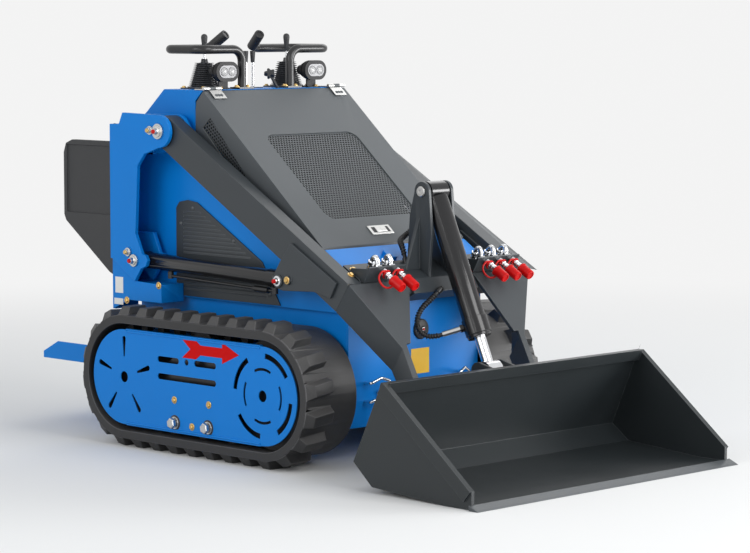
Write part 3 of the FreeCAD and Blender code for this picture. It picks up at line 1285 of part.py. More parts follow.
node("hose_glands", cut("HoseGlands", feature("HoseGlandBlanks", glandShape()), crossMember))
tiltRun = root((tiltEyeY - tiltPinY) * (tiltEyeY - tiltPinY) + (tiltEyeZ - tiltPinZ) * (tiltEyeZ - tiltPinZ))
tiltRod = fuse("TiltRodBody",
               rodAlong("TiltRodBar", 0, tiltBase, tiltEye, tiltRodR, 110, tiltRun - 115),
               rodX("TiltRodEye", tiltEyeY, tiltEyeZ, 24, -tiltEyeHalf + 7, tiltEyeHalf - 7),
               rodX("TiltRodPin", tiltEyeY, tiltEyeZ, tiltPinR, -tiltEarInX + 0.3, tiltEarInX - 0.3))
node("tilt_rod", tiltRod)

# Bucket
bucketFace = [(bucketTopY, bucketTopZ), (bucketHeelY, bucketHeelZ), (bucketToeY, bucketToeZ),
              (edgeTipY + edgeDeep, 0)]
shellOuter = prism("BucketOuter", bucketFace + [
    (bucketLipY, 0), (bucketLipY, edgeThick), (bucketTopY - 14, bucketTopZ)],
    -bucketHalf + bucketSheet, bucketHalf - bucketSheet)
shellRoom = prism("BucketRoom", [
    (bucketTopY - 12, bucketTopZ + 5), (bucketHeelY - 16, bucketHeelZ - 2), (bucketToeY - 8, bucketToeZ + 12),
    (edgeTipY + edgeDeep, 10), (bucketLipY - 50, 10), (bucketLipY - 50, bucketTopZ + 5)], -bucketHalf, bucketHalf)
shell = cut("BucketSheet", shellOuter, shellRoom)
sidePoints = [(bucketTopY, bucketTopZ), (bucketTopY + 10, bucketTopZ - 27), (bucketHeelY, bucketHeelZ),
              (bucketToeY, bucketToeZ), (edgeTipY + edgeDeep, 0), (bucketLipY, 0),
              (bucketLipY, bucketLipZ), (bucketTopY - 14, bucketTopZ)]
sideLeft = prism("BucketSideLeft", sidePoints, bucketHalf - bucketSheet, bucketHalf)
sideRight = prism("BucketSideRight", sidePoints, -bucketHalf, -bucketHalf + bucketSheet)
railHigh = size("railHigh", 28)
topRail = prism("BucketTopRail", [
    (bucketTopY - 10, bucketTopZ), (bucketTopY - 24, bucketTopZ), (bucketTopY - 12, bucketTopZ - railHigh),
    (bucketTopY + 4, bucketTopZ - railHigh)], -bucketHalf + bucketSheet, bucketHalf - bucketSheet)
stripThick = size("stripThick", 6)
stripWide = size("stripWide", 34)
rimDy, rimDz = bucketTopY - 14 - bucketLipY, bucketTopZ - bucketLipZ
rimLong = root(rimDy * rimDy + rimDz * rimDz)
stripPoints = [(bucketLipY, bucketLipZ), (bucketTopY - 14, bucketTopZ),
               (bucketTopY - 14 + rimDz / rimLong * stripWide, bucketTopZ - rimDy / rimLong * stripWide),
               (bucketLipY + rimDz / rimLong * stripWide, bucketLipZ - rimDy / rimLong * stripWide)]
strips = [prism("BucketStripLeft", stripPoints, bucketHalf, bucketHalf + stripThick),
          prism("BucketStripRight", stripPoints, -bucketHalf - stripThick, -bucketHalf)]
node("bucket_shell", fuse("BucketShell", shell, sideLeft, sideRight, topRail, *strips))
node("cutting_edge", cut("CuttingEdge",
                         prism("EdgeBar", [(edgeTipY, 0), (bucketLipY + 1, 0), (bucketLipY + 1, edgeThick),
                                           (edgeTipY + 8, 4)], -edgeHalf, edgeHalf),
                         box("EdgeRoom", -bucketHalf - stripThick - 0.3, bucketHalf + stripThick + 0.3, bucketLipY, bucketLipY + 5, -1,
                             edgeThick + 1)))
wallDy, wallDz = bucketTopY - bucketHeelY, bucketTopZ - bucketHeelZ
wallLong = root(wallDy * wallDy + wallDz * wallDz)
alongY, alongZ = wallDy / wallLong, wallDz / wallLong


def behindWall(along, off):
    """Point at a distance up the bucket's back wall and off it to the rear."""
    return (bucketHeelY + alongY * along + alongZ * off, bucketHeelZ + alongZ * along - alongY * off)


hitchLowAlong = size("hitchLowAlong", 10)
hitchHighAlong = size("hitchHighAlong", 205)
hitchPlate = prism("HitchPlate", [
    behindWall(hitchLowAlong, 0), behindWall(hitchHighAlong, 0), behindWall(hitchHighAlong, hitchThick),
    behindWall(hitchLowAlong, hitchThick)], -hitchHalf, hitchHalf)


def hitchEar(name, y, z, spread, radius, x0, x1):
    """Lug from the hitch plate round a pin."""
    across = (y - bucketHeelY) * alongY + (z - bucketHeelZ) * alongZ
    return fuse(name, prism(name + "Web", [
        behindWall(across - spread, hitchThick - 1), (y - alongY * radius, z - alongZ * radius),
        (y + alongY * radius, z + alongZ * radius), behindWall(across + spread, hitchThick - 1)], x0, x1),
        rodX(name + "Lobe", y, z, radius, x0, x1))


hitchEarThick = size("hitchEarThick", 10)
pinEars = [hitchEar("PivotEarOuter", bucketPinY, bucketPinZ, 34, 24, legOutX + 3,
                    legOutX + 3 + hitchEarThick),
           hitchEar("PivotEarInner", bucketPinY, bucketPinZ, 34, 24, legInX - 3 - hitchEarThick, legInX - 3),
           hitchEar("TiltEyeEar", tiltEyeY, tiltEyeZ, 36, 24, tiltEarInX, tiltEarInX + hitchEarThick)]
pinBar = rodX("PivotPin", bucketPinY, bucketPinZ, bucketPinR, legInX - 3 - hitchEarThick - 4,
              legOutX + 3 + hitchEarThick + 6)
hitchHalfEars = fuse("HitchEars", pinBar, *pinEars)
node("hitch_plate", fuse("HitchFrame", hitchPlate, hitchHalfEars, mirror("HitchEarsTwin", hitchHalfEars)))

# Stand-on platform
platformFloor = box("PlatformFloor", -platformHalf, platformHalf, platformHingeY + 12, platformRearY,
                    platformHingeZ, platformHingeZ + platformSheet)
flangePoints = [(platformHingeY + 12, platformHingeZ - 6), (platformRearY, platformHingeZ - 6),
                (platformRearY, platformHingeZ + 13), (platformRearY - 65, platformFlangeZ),
                (platformHingeY + 12, platformFlangeZ)]
platformParts = [platformFloor,
                 prism("FlangeLeft", flangePoints, platformHalf - platformSheet, platformHalf),
                 prism("FlangeRight", flangePoints, -platformHalf, -platformHalf + platformSheet)]
hingeParts = []
pinBores = []
platformPinR = size("platformPinR", 5)
for index, side in enumerate((-1, 1)):
    middle = 180 * side
    platformParts.append(rodX(f"PlatformKnuckle{index}", platformHingeY, platformHingeZ, platformHingeR,
                              middle - 20, middle + 20))
    platformParts.append(box(f"PlatformTongue{index}", middle - 20, middle + 20, platformHingeY,
                             platformHingeY + 20, platformHingeZ, platformHingeZ + platformSheet))
    hingeParts.append(rodX(f"HingePin{index}", platformHingeY, platformHingeZ, platformPinR,
                           middle - 30, middle + 30))
    pinBores.append(rodX(f"HingeBore{index}", platformHingeY, platformHingeZ, platformPinR + pinFit,
                         middle - 30, middle + 30))
    for half, offset in (("In", -34), ("Out", 22)):
        hingeParts.append(box(f"HingeLug{half}{index}", middle + offset, middle + offset + 12, bodyRearY,
                              platformHingeY, platformHingeZ - platformHingeR, platformHingeZ + platformHingeR))
        hingeParts.append(rodX(f"HingeLugEnd{half}{index}", platformHingeY, platformHingeZ, platformHingeR,
                               middle + offset, middle + offset + 12))
node("platform", cut("Platform", fuse("PlatformBlank", *platformParts), *pinBores))
node("platform_brackets", fuse("PlatformBrackets", *hingeParts))

# Check and write
doc.recompute()
for thing in doc.Objects:
    if "Invalid" in thing.State or "Error" in thing.State:
        raise RuntimeError(f"{thing.Name} failed: {thing.State}")
os.makedirs("parts", exist_ok=True)
for thing in nodes:
    shape = thing.Shape
    if shape.isNull() or not shape.isValid():
        raise RuntimeError(f"{thing.Label} has no valid shape")
    shape.exportStep(f"parts/{thing.Label}.step")
    print(f"{thing.Label:22s} {len(shape.Solids):3d} {shape.Volume / 1e3:10.0f} cm3")
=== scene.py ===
import bmesh
import bpy
import json
import math
from mathutils import Matrix, Vector

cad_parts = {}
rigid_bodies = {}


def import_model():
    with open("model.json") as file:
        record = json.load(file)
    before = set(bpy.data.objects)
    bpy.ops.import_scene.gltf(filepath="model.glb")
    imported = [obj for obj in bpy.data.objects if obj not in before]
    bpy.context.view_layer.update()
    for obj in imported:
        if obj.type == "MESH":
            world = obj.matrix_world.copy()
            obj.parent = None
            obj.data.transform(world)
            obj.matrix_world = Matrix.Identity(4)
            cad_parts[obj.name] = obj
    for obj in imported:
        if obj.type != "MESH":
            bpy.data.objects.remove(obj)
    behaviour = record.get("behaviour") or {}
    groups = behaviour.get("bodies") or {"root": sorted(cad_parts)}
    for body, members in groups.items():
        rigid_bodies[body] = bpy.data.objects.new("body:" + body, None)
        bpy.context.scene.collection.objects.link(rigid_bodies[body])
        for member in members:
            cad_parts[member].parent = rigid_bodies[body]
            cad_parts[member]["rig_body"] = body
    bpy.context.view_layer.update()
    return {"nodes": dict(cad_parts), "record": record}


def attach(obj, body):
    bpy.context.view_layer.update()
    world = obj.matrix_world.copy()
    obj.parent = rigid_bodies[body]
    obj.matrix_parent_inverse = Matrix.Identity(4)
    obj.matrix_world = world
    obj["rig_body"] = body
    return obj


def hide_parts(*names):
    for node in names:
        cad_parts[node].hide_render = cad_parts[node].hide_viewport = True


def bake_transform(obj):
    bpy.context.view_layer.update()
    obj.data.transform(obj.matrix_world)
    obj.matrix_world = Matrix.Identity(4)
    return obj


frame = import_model()
nodes = frame["nodes"]
slotOf = {part["node"]: part["material_slot"] for part in frame["record"]["subparts"]}
bodyOf = {name: thing["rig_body"] for name, thing in nodes.items()}
bothSides = ((-1, "Right"), (1, "Left"))  # -X is the machine's right

cameraSet = {
    "place": (-5.22499, -5.35861, 1.16428),
    "azimuth": -45,
    "elevation": 5.38,
    "lens": 133.525,
    "sensor": 36,
    "reach": 60,
}
studio = {
    "floorSize": 80,
    "floorColour": (0.80, 0.80, 0.79, 1),
    "floorRough": 0.9,
    "fadeNear": 1.5,
    "fadeFar": 5.0,
    "backdropColour": (0.90, 0.90, 0.90, 1),
    "skyColour": (0.93, 0.96, 1, 1),
    "skyStrength": 0.60,
}
# each lamp's place, the point that it faces, its width and height, and its power
studioLamps = {
    "keyLamp": ((0.2, -5.4, 2.9), (0, 0, 0.4), (3.2, 3.2), 180),
    "fillLamp": ((-5.2, 0.2, 2.6), (0, 0, 0.5), (2.8, 2.8), 78),
    "rimLamp": ((3.5, 1.5, 3.2), (0, 0, 0.5), (2.5, 2.5), 30),
    "sideLamp": ((4.2, -4.4, 0.9), (0, -0.2, 0.4), (3.4, 1.8), 250),
    "stripLamp": ((-4.8, -2.5, 1.1), (0, -0.5, 0.5), (0.25, 2.4), 18),
}


def mm(*numbers):
    return Vector(numbers) / 1000


def linked(thing):
    bpy.context.scene.collection.objects.link(thing)
    return thing


def addNode(tree, kind, sockets=(), **settings):
    node = tree.nodes.new("ShaderNode" + kind)
    for name, value in settings.items():
        setattr(node, name, value)
    for name, value in dict(sockets).items():
        node.inputs[name].default_value = value
    return node


def buildCamera():
    camera = linked(bpy.data.objects.new("camera", bpy.data.cameras.new("camera")))
    camera.data.lens = cameraSet["lens"]
    camera.data.sensor_width = cameraSet["sensor"]
    camera.data.clip_end = cameraSet["reach"]
    turn, rise = math.radians(cameraSet["azimuth"]), math.radians(cameraSet["elevation"])
    back = Vector((math.sin(turn) * math.cos(rise), -math.cos(turn) * math.cos(rise), math.sin(rise)))
    camera.location = cameraSet["place"]
    camera.rotation_euler = (-back).to_track_quat("-Z", "Y").to_euler()
    bpy.context.scene.camera = camera


def areaLamp(name, place, target, size, power):
    lamp = linked(bpy.data.objects.new(name, bpy.data.lights.new(name, "AREA")))
    lamp.data.shape = "RECTANGLE"
    lamp.data.size, lamp.data.size_y = size
    lamp.data.energy = power
    lamp.location = place
    lamp.rotation_euler = (Vector(target) - Vector(place)).to_track_quat("-Z", "Y").to_euler()


def backdropRays(tree):
    # rays that show the backdrop: straight from the camera, in metal and through glass
    path = addNode(tree, "LightPath")
    shown = path.outputs["Is Camera Ray"]
    for kind in ("Is Glossy Ray", "Is Transmission Ray"):
        either = addNode(tree, "Math", operation="MAXIMUM")
        tree.links.new(shown, either.inputs[0])
        tree.links.new(path.outputs[kind], either.inputs[1])
        shown = either.outputs["Value"]
    return shown


def buildFloor():
    bpy.ops.mesh.primitive_plane_add(size=studio["floorSize"])
    floor = bpy.context.active_object
    floor.name = "floor"
    paint = bpy.data.materials.new("floorPaint")
    paint.use_nodes = True
    tree = paint.node_tree
    link = tree.links.new
    shader = tree.nodes["Principled BSDF"]
    shader.inputs["Base Color"].default_value = studio["floorColour"]
    shader.inputs["Roughness"].default_value = studio["floorRough"]
    # far from the machine the floor fades into the backdrop
    spot = addNode(tree, "TexCoord")
    reach = addNode(tree, "VectorMath", operation="LENGTH")
    fade = addNode(tree, "MapRange", {"From Min": studio["fadeNear"], "From Max": studio["fadeFar"]},
                   interpolation_type="SMOOTHSTEP")
    both = addNode(tree, "Math", operation="MULTIPLY")
    glow = addNode(tree, "Emission", {"Color": studio["backdropColour"]})
    mix = addNode(tree, "MixShader")
    link(spot.outputs["Object"], reach.inputs[0])
    link(reach.outputs["Value"], fade.inputs["Value"])
    link(fade.outputs["Result"], both.inputs[0])
    link(backdropRays(tree), both.inputs[1])
    link(both.outputs["Value"], mix.inputs["Fac"])
    link(shader.outputs["BSDF"], mix.inputs[1])
    link(glow.outputs["Emission"], mix.inputs[2])
    link(mix.outputs["Shader"], tree.nodes["Material Output"].inputs["Surface"])
    floor.data.materials.append(paint)


def buildStudio():
    bpy.context.scene.view_settings.view_transform = "Standard"
    world = bpy.data.worlds.new("studioWorld")
    bpy.context.scene.world = world
    world.use_nodes = True
    tree = world.node_tree
    tree.nodes.clear()
    output = addNode(tree, "OutputWorld")
    mix = addNode(tree, "MixShader")
    sky = addNode(tree, "Background", {"Color": studio["skyColour"], "Strength": studio["skyStrength"]})
    backdrop = addNode(tree, "Background", {"Color": studio["backdropColour"]})
    tree.links.new(backdropRays(tree), mix.inputs["Fac"])
    tree.links.new(sky.outputs["Background"], mix.inputs[1])
    tree.links.new(backdrop.outputs["Background"], mix.inputs[2])
    tree.links.new(mix.outputs["Shader"], output.inputs["Surface"])
    buildFloor()
    for name, values in studioLamps.items():
        areaLamp(name, *values)


print("stage: camera and studio")
buildCamera()
buildStudio()

# Finishes
# the colour for faces that look up is a painted highlight
# the two edge limits below shape a painted highlight along edges
detail = {"patchDetail": 5, "grainDetail": 3, "grainDepth": 0.001, "topHighlightColour": (0.17, 0.165, 0.16),
          "highlightStart": 0.99, "highlightFull": 0.86, "smoothest": 0.85, "roughest": 1.2}


def overlaid(tree, shown, amount, colour):
    mix = addNode(tree, "Mix", {"B": (*colour, 1)}, data_type="RGBA")
    tree.links.new(amount, mix.inputs["Factor"])
    tree.links.new(shown, mix.inputs["A"])
    return mix.outputs["Result"]


def topHighlightAmount(tree, topHighlight):
    # faces that look up are painted lighter, a painted highlight from above
    normal = addNode(tree, "NewGeometry")
    split = addNode(tree, "SeparateXYZ")
    amount = addNode(tree, "Math", {1: topHighlight}, operation="MULTIPLY", use_clamp=True)
    tree.links.new(normal.outputs["Normal"], split.inputs["Vector"])
    tree.links.new(split.outputs["Z"], amount.inputs[0])
    return amount.outputs["Value"]


def edgeHighlightAmount(tree, edgeHighlight, radius):
    # edges get a painted highlight, a lighter colour where the rounded normal leaves the flat one
    rounded = addNode(tree, "Bevel", {"Radius": radius}, samples=4)
    flat = addNode(tree, "NewGeometry")
    turn = addNode(tree, "VectorMath", operation="DOT_PRODUCT")
    highlighted = addNode(tree, "MapRange", {"From Min": detail["highlightStart"], "From Max": detail["highlightFull"],
                                      "To Max": edgeHighlight})
    tree.links.new(rounded.outputs["Normal"], turn.inputs[0])
    tree.links.new(flat.outputs["Normal"], turn.inputs[1])
    tree.links.new(turn.outputs["Value"], highlighted.inputs["Value"])
    return highlighted.outputs["Result"]


def grainNormal(tree, spot, strength, scale, cells):
    if cells:
        fine = addNode(tree, "TexVoronoi", {"Scale": scale})
        height = fine.outputs["Distance"]
    else:
        fine = addNode(tree, "TexNoise", {"Scale": scale, "Detail": detail["grainDetail"]})
        height = fine.outputs["Fac"]
    bump = addNode(tree, "Bump", {"Strength": strength, "Distance": detail["grainDepth"]})
    tree.links.new(spot, fine.inputs["Vector"])
    tree.links.new(height, bump.inputs["Height"])
    return bump.outputs["Normal"]


def finish(name, colour, rough, patch, grain, edgeHighlight=None, metal=0, shine=0.5, highlightRadius=0.00192, topHighlight=0,
           cells=False):
    # patches and grain are a strength and a scale, and the painted edge highlight is a strength and a colour
    paint = bpy.data.materials.new(name)
    paint.use_nodes = True
    tree = paint.node_tree
    link = tree.links.new
    shader = tree.nodes["Principled BSDF"]
    shader.inputs["Metallic"].default_value = metal
    shader.inputs["Specular IOR Level"].default_value = shine
    spot = addNode(tree, "TexCoord").outputs["Object"]
    depth, scale = patch
    broad = addNode(tree, "TexNoise", {"Scale": scale, "Detail": detail["patchDetail"]})
    darker = [part * (1 - depth) for part in colour]
    lighter = [min(1, part * (1 + depth)) for part in colour]
    tones = addNode(tree, "Mix", {"A": (*darker, 1), "B": (*lighter, 1)}, data_type="RGBA")
    link(spot, broad.inputs["Vector"])
    link(broad.outputs["Fac"], tones.inputs["Factor"])
    shown = tones.outputs["Result"]
    # painted highlight: faces that look up are mixed towards a lighter grey
    if topHighlight:
        shown = overlaid(tree, shown, topHighlightAmount(tree, topHighlight), detail["topHighlightColour"])
    # painted highlight: edges are mixed towards a lighter colour
    if edgeHighlight:
        shown = overlaid(tree, shown, edgeHighlightAmount(tree, edgeHighlight[0], highlightRadius), edgeHighlight[1])
    sheen = addNode(tree, "MapRange", {"To Min": rough * detail["smoothest"],
                                       "To Max": min(1, rough * detail["roughest"])})
    link(shown, shader.inputs["Base Color"])
    link(broad.outputs["Fac"], sheen.inputs["Value"])
    link(sheen.outputs["Result"], shader.inputs["Roughness"])
    link(grainNormal(tree, spot, *grain, cells), shader.inputs["Normal"])
    return paint


print("stage: finishes")
# name, colour, roughness, patches, grain, and then the painted highlight on the edges
bluePaint = finish("bluePaint", (0.001, 0.182, 0.590), 0.36, (0.05, 5), (0.06, 700),
                   (0.35, (0.08, 0.34, 0.80)), shine=0.20)
armPaint = finish("armPaint", (0.031, 0.037, 0.042), 0.40, (0.08, 9), (0.08, 900),
                  (0.35, (0.14, 0.15, 0.16)), shine=0.42)
# the arms' grey painted lighter for the hood lid: a lit copy standing for the light falling on its front
litHoodPaint = finish("litHoodPaint", (0.082, 0.090, 0.096), 0.44, (0.06, 9), (0.10, 900),
                   (0.35, (0.20, 0.21, 0.22)), shine=0.32)
bucketPaint = finish("bucketPaint", (0.015, 0.019, 0.021), 0.40, (0.10, 6), (0.10, 800),
                     (0.5, (0.13, 0.14, 0.15)), shine=0.45)
edgeSteel = finish("edgeSteel", (0.060, 0.068, 0.074), 0.38, (0.25, 14), (0.25, 500),
                   (0.8, (0.22, 0.23, 0.24)), metal=0.2)
blackPaint = finish("blackPaint", (0.010, 0.010, 0.011), 0.30, (0.15, 9), (0.05, 420),
                    (0.3, (0.06, 0.06, 0.065)))
glossBlack = finish("glossBlack", (0.008, 0.008, 0.009), 0.17, (0.12, 9), (0.03, 420),
                    (0.3, (0.07, 0.07, 0.075)))
chrome = finish("chrome", (0.74, 0.75, 0.77), 0.13, (0.04, 60), (0.01, 420), metal=1)
zincSteel = finish("zincSteel", (0.58, 0.58, 0.57), 0.28, (0.12, 80), (0.06, 420), (0.3, (0.8, 0.8, 0.8)),
                   metal=1)
goldZinc = finish("goldZinc", (0.62, 0.42, 0.16), 0.28, (0.25, 120), (0.06, 420), (0.3, (0.85, 0.68, 0.36)),
                  metal=1)
# track rubber gets a painted highlight on its edges and on the faces that look up
trackRubber = finish("trackRubber", (0.017, 0.017, 0.018), 0.50, (0.35, 24), (0.35, 300),
                     (0.8, (0.13, 0.13, 0.135)), highlightRadius=0.0032, topHighlight=0.30)
bootRubber = finish("bootRubber", (0.013, 0.013, 0.014), 0.48, (0.2, 40), (0.15, 600))
bellowsRubber = finish("bellowsRubber", (0.040, 0.042, 0.046), 0.30, (0.2, 40), (0.10, 600))
wheelIron = finish("wheelIron", (0.022, 0.022, 0.024), 0.5, (0.3, 20), (0.4, 260),
                   (0.4, (0.12, 0.12, 0.12)))
blackPlastic = finish("blackPlastic", (0.022, 0.023, 0.025), 0.52, (0.12, 9), (0.35, 900),
                      (0.15, (0.08, 0.08, 0.085)), cells=True)
meshPaint = finish("meshPaint", (0.070, 0.077, 0.082), 0.45, (0.15, 9), (0.1, 700))
capRed = finish("capRed", (0.50, 0.001, 0.001), 0.38, (0.08, 50), (0.08, 800), shine=0.25)
arrowRed = finish("arrowRed", (0.54, 0.001, 0.001), 0.45, (0.04, 30), (0.02, 420), shine=0.1)
plateYellow = finish("plateYellow", (0.86, 0.50, 0.015), 0.40, (0.06, 40), (0.03, 420))
plateWhite = finish("plateWhite", (0.72, 0.72, 0.70), 0.40, (0.05, 60), (0.03, 420))
lampBlack = finish("lampBlack", (0.010, 0.010, 0.011), 0.5, (0.12, 9), (0.2, 900), shine=0.3)
reflector = finish("reflector", (0.27, 0.27, 0.28), 0.35, (0.05, 90), (0.02, 420))
bowlSilver = finish("bowlSilver", (0.10, 0.10, 0.11), 0.3, (0.05, 90), (0.02, 420))
lampLens = finish("lampLens", (0.34, 0.34, 0.34), 0.16, (0.3, 300), (0.2, 500), cells=True)

finishOf = {"blue_paint": bluePaint, "gray_paint": armPaint, "bucket_paint": bucketPaint,
            "black_paint": blackPaint, "chrome": chrome, "zinc_steel": zincSteel, "track_rubber": trackRubber,
            "boot_rubber": bootRubber, "wheel_iron": wheelIron, "black_plastic": blackPlastic,
            "cap_red": capRed}
# the hood lid takes the lit copy of the arms' grey
ownFinish = {"hood_lid": litHoodPaint, "hood_mesh": meshPaint, "cutting_edge": edgeSteel,
             "track_frames": blackPaint, "lift_pipe_left": blackPaint, "lift_pipe_right": blackPaint,
             "tilt_barrel": glossBlack, "lift_barrel_left": glossBlack, "lift_barrel_right": glossBlack}


def nodeFinish(node):
    return ownFinish.get(node, finishOf[slotOf[node]])


for name, thing in nodes.items():
    thing.data.materials.clear()
    thing.data.materials.append(nodeFinish(name))


# Shape helpers: points and a slab's thickness are vectors in metres, and plain lengths are in millimetres
def keep(name, shape, body, paint, replaced=(), smooth=38, bevel=0):
    mesh = bpy.data.meshes.new(name)
    shape.normal_update()
    shape.to_mesh(mesh)
    shape.free()
    mesh.materials.append(paint)
    for face in mesh.polygons:
        face.use_smooth = True
    mesh.set_sharp_from_angle(angle=math.radians(smooth))
    thing = linked(bpy.data.objects.new(name, mesh))
    if bevel:
        soft = thing.modifiers.new("softEdges", "BEVEL")
        soft.width = bevel / 1000
        soft.segments = 2
        soft.limit_method = "ANGLE"
        soft.angle_limit = math.radians(30)
        soft.use_clamp_overlap = False
        soft.harden_normals = True
    if body:
        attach(thing, body)
    if replaced:
        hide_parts(*replaced)
    return thing


def title(node):
    return "".join(word.capitalize() for word in node.split("_"))


def spread(start, end, step):
    while start < end:
        yield start
        start += step


def rectangle(left, right, low, high):
    return (left, low), (right, low), (right, high), (left, high)


def axes(direction):
    along = Vector(direction).normalized()
    side = along.cross(Vector((0, 0, 1)) if abs(along.z) < 0.9 else Vector((1, 0, 0))).normalized()
    return along, side, side.cross(along).normalized()


def ringPoints(centre, side, up, radius, count, turn=0.0):
    angles = [2 * math.pi * step / count + turn for step in range(count)]
    return [centre + (side * math.cos(angle) + up * math.sin(angle)) * (radius / 1000) for angle in angles]


def joinRings(shape, low, high):
    count = max(len(low), len(high))
    for step in range(count):
        after = (step + 1) % count
        if len(low) == 1:
            shape.faces.new((low[0], high[after], high[step]))
        elif len(high) == 1:
            shape.faces.new((low[step], low[after], high[0]))
        else:
            shape.faces.new((low[step], low[after], high[after], high[step]))


def closeEnds(shape, rings):
    for ring in (rings[0][::-1], rings[-1]):
        if len(ring) > 1:
            shape.faces.new(ring)


def lathe(shape, base, direction, profile, sides=24, turn=0.0):
    # the profile is a list of distances along the axis with the radius at each
    along, side, up = axes(direction)
    rings = []
    for distance, radius in profile:
        centre = Vector(base) + along * (distance / 1000)
        points = ringPoints(centre, side, up, radius, sides, turn) if radius else [centre]
        rings.append([shape.verts.new(point) for point in points])
    for low, high in zip(rings, rings[1:]):
        joinRings(shape, low, high)
    closeEnds(shape, rings)


def tube(shape, line, radius, sides=14, closed=False):
    count = len(line)
    rings = []
    side = None
    for index, point in enumerate(line):
        before = line[index - 1] if index or closed else point
        after = line[(index + 1) % count] if index < count - 1 or closed else point
        along = (after - before).normalized()
        if side is None:
            side = axes(along)[1]
        side = (side - along * side.dot(along)).normalized()
        spots = ringPoints(point, side, along.cross(side), radius, sides)
        rings.append([shape.verts.new(spot) for spot in spots])
    for low, high in zip(rings, rings[1:]):
        joinRings(shape, low, high)
    if closed:
        joinRings(shape, rings[-1], rings[0])
    else:
        closeEnds(shape, rings)


def slab(shape, corners, thickness):
    low = [shape.verts.new(corner) for corner in corners]
    high = [shape.verts.new(Vector(corner) + thickness) for corner in corners]
    faces = [shape.faces.new(low[::-1]), shape.faces.new(high)]
    for step in range(len(low)):
        after = (step + 1) % len(low)
        faces.append(shape.faces.new((low[step], low[after], high[after], high[step])))
    bmesh.ops.recalc_face_normals(shape, faces=faces)


def block(shape, centre, halves, turn=Matrix.Identity(3)):
    place = Matrix.Translation(centre) @ turn.to_4x4() @ Matrix.Diagonal((*mm(*halves), 1))
    corners = bmesh.ops.create_cube(shape, size=2)["verts"]
    bmesh.ops.transform(shape, matrix=place, verts=corners)


def oval(shape, centre, rings, steps=12):
    # upright ovals, each given by its depth behind the centre, half its width and half its height
    rows = []
    for depth, half, high in rings:
        row = []
        for sign, start in ((1, -90), (-1, 90)):
            for step in range(steps + 1):
                angle = math.radians(start + 180 * step / steps)
                across = sign * (half - high) + high * math.cos(angle)
                row.append(shape.verts.new(centre + mm(across, depth, high * math.sin(angle))))
        rows.append(row)
    for low, high in zip(rows, rows[1:]):
        joinRings(shape, low, high)
    closeEnds(shape, rows)


def smoothLine(points, steps=8):
    line = []
    last = len(points) - 1
    for index in range(last):
        a, b, c, d = (points[min(max(index + k, 0), last)] for k in (-1, 0, 1, 2))
        for step in range(steps):
            t = step / steps
            line.append(0.5 * (2 * b + (c - a) * t + (2 * a - 5 * b + 4 * c - d) * t * t
                               + (3 * b - a - 3 * c + d) * t ** 3))
    return line + [points[-1]]


# washerLow, washerTop and seat are heights in millimetres, and the rest are shares of the bolt's width
bolt = {"washerR": 0.9, "washerTopR": 0.84, "washerLow": 1.2, "washerTop": 1.6, "seat": 1.5, "head": 0.42,
        "bevelAt": 0.8, "crownR": 0.82}


def hexBolt(shape, place, direction, across, washer=True):
    start = 0
    if washer:
        rim = across * bolt["washerR"]
        lathe(shape, place, direction, [(0, rim), (bolt["washerLow"], rim),
                                        (bolt["washerTop"], across * bolt["washerTopR"])])
        start = bolt["seat"]
    radius, high = across / math.sqrt(3), across * bolt["head"]
    lathe(shape, place, direction, [(start, radius), (start + high * bolt["bevelAt"], radius),
                                    (start + high, radius * bolt["crownR"])], 6, turn=0.3)


def leaning(face):
    # directions along a leaning face and out of it, from its upper and its lower edge
    (topY, topZ), (lowY, lowZ) = face
    along = Vector((0, lowY - topY, lowZ - topZ)).normalized()
    return along, Vector((0, math.copysign(along.z, along.y), abs(along.y)))


def onFace(face, down, off=0, x=0):
    along, outward = leaning(face)
    return mm(x, *face[0]) + (along * down + outward * off) / 1000


# The CAD's plates and castings get rounded edges, in millimetres
softEdges = {
    1.6: ["upper_body", "console", "front_plate", "tower_left", "tower_right", "side_pads", "hood_lid",
          "arm_left", "arm_right", "arm_gussets", "arm_leg_left", "arm_leg_right", "cross_member",
          "tilt_bracket", "cutting_edge", "hitch_plate", "platform"],
    1.0: ["track_guard_left", "track_guard_right", "lower_tub", "access_panels", "track_frames",
          "platform_brackets", "tower_pins", "tilt_pin", "tilt_barrel", "lift_barrel_left",
          "lift_barrel_right", "drive_sprockets", "idler_wheels", "track_rollers"],
    2.2: ["track_left", "track_right"],
    0.6: ["hood_hinges", "coupler_brackets", "filler_cap", "hose_glands", "bucket_shell"],
}


def softened(node, width):
    shape = bmesh.new()
    shape.from_mesh(nodes[node].data)
    bmesh.ops.remove_doubles(shape, verts=shape.verts, dist=0.00003)
    bmesh.ops.dissolve_limit(shape, angle_limit=math.radians(0.7), verts=shape.verts, edges=shape.edges)
    keep("skin" + title(node), shape, bodyOf[node], nodeFinish(node), [node], 32, width)


print("stage: softened sheet metal")
for width, names in softEdges.items():
    for node in names:
        softened(node, width)

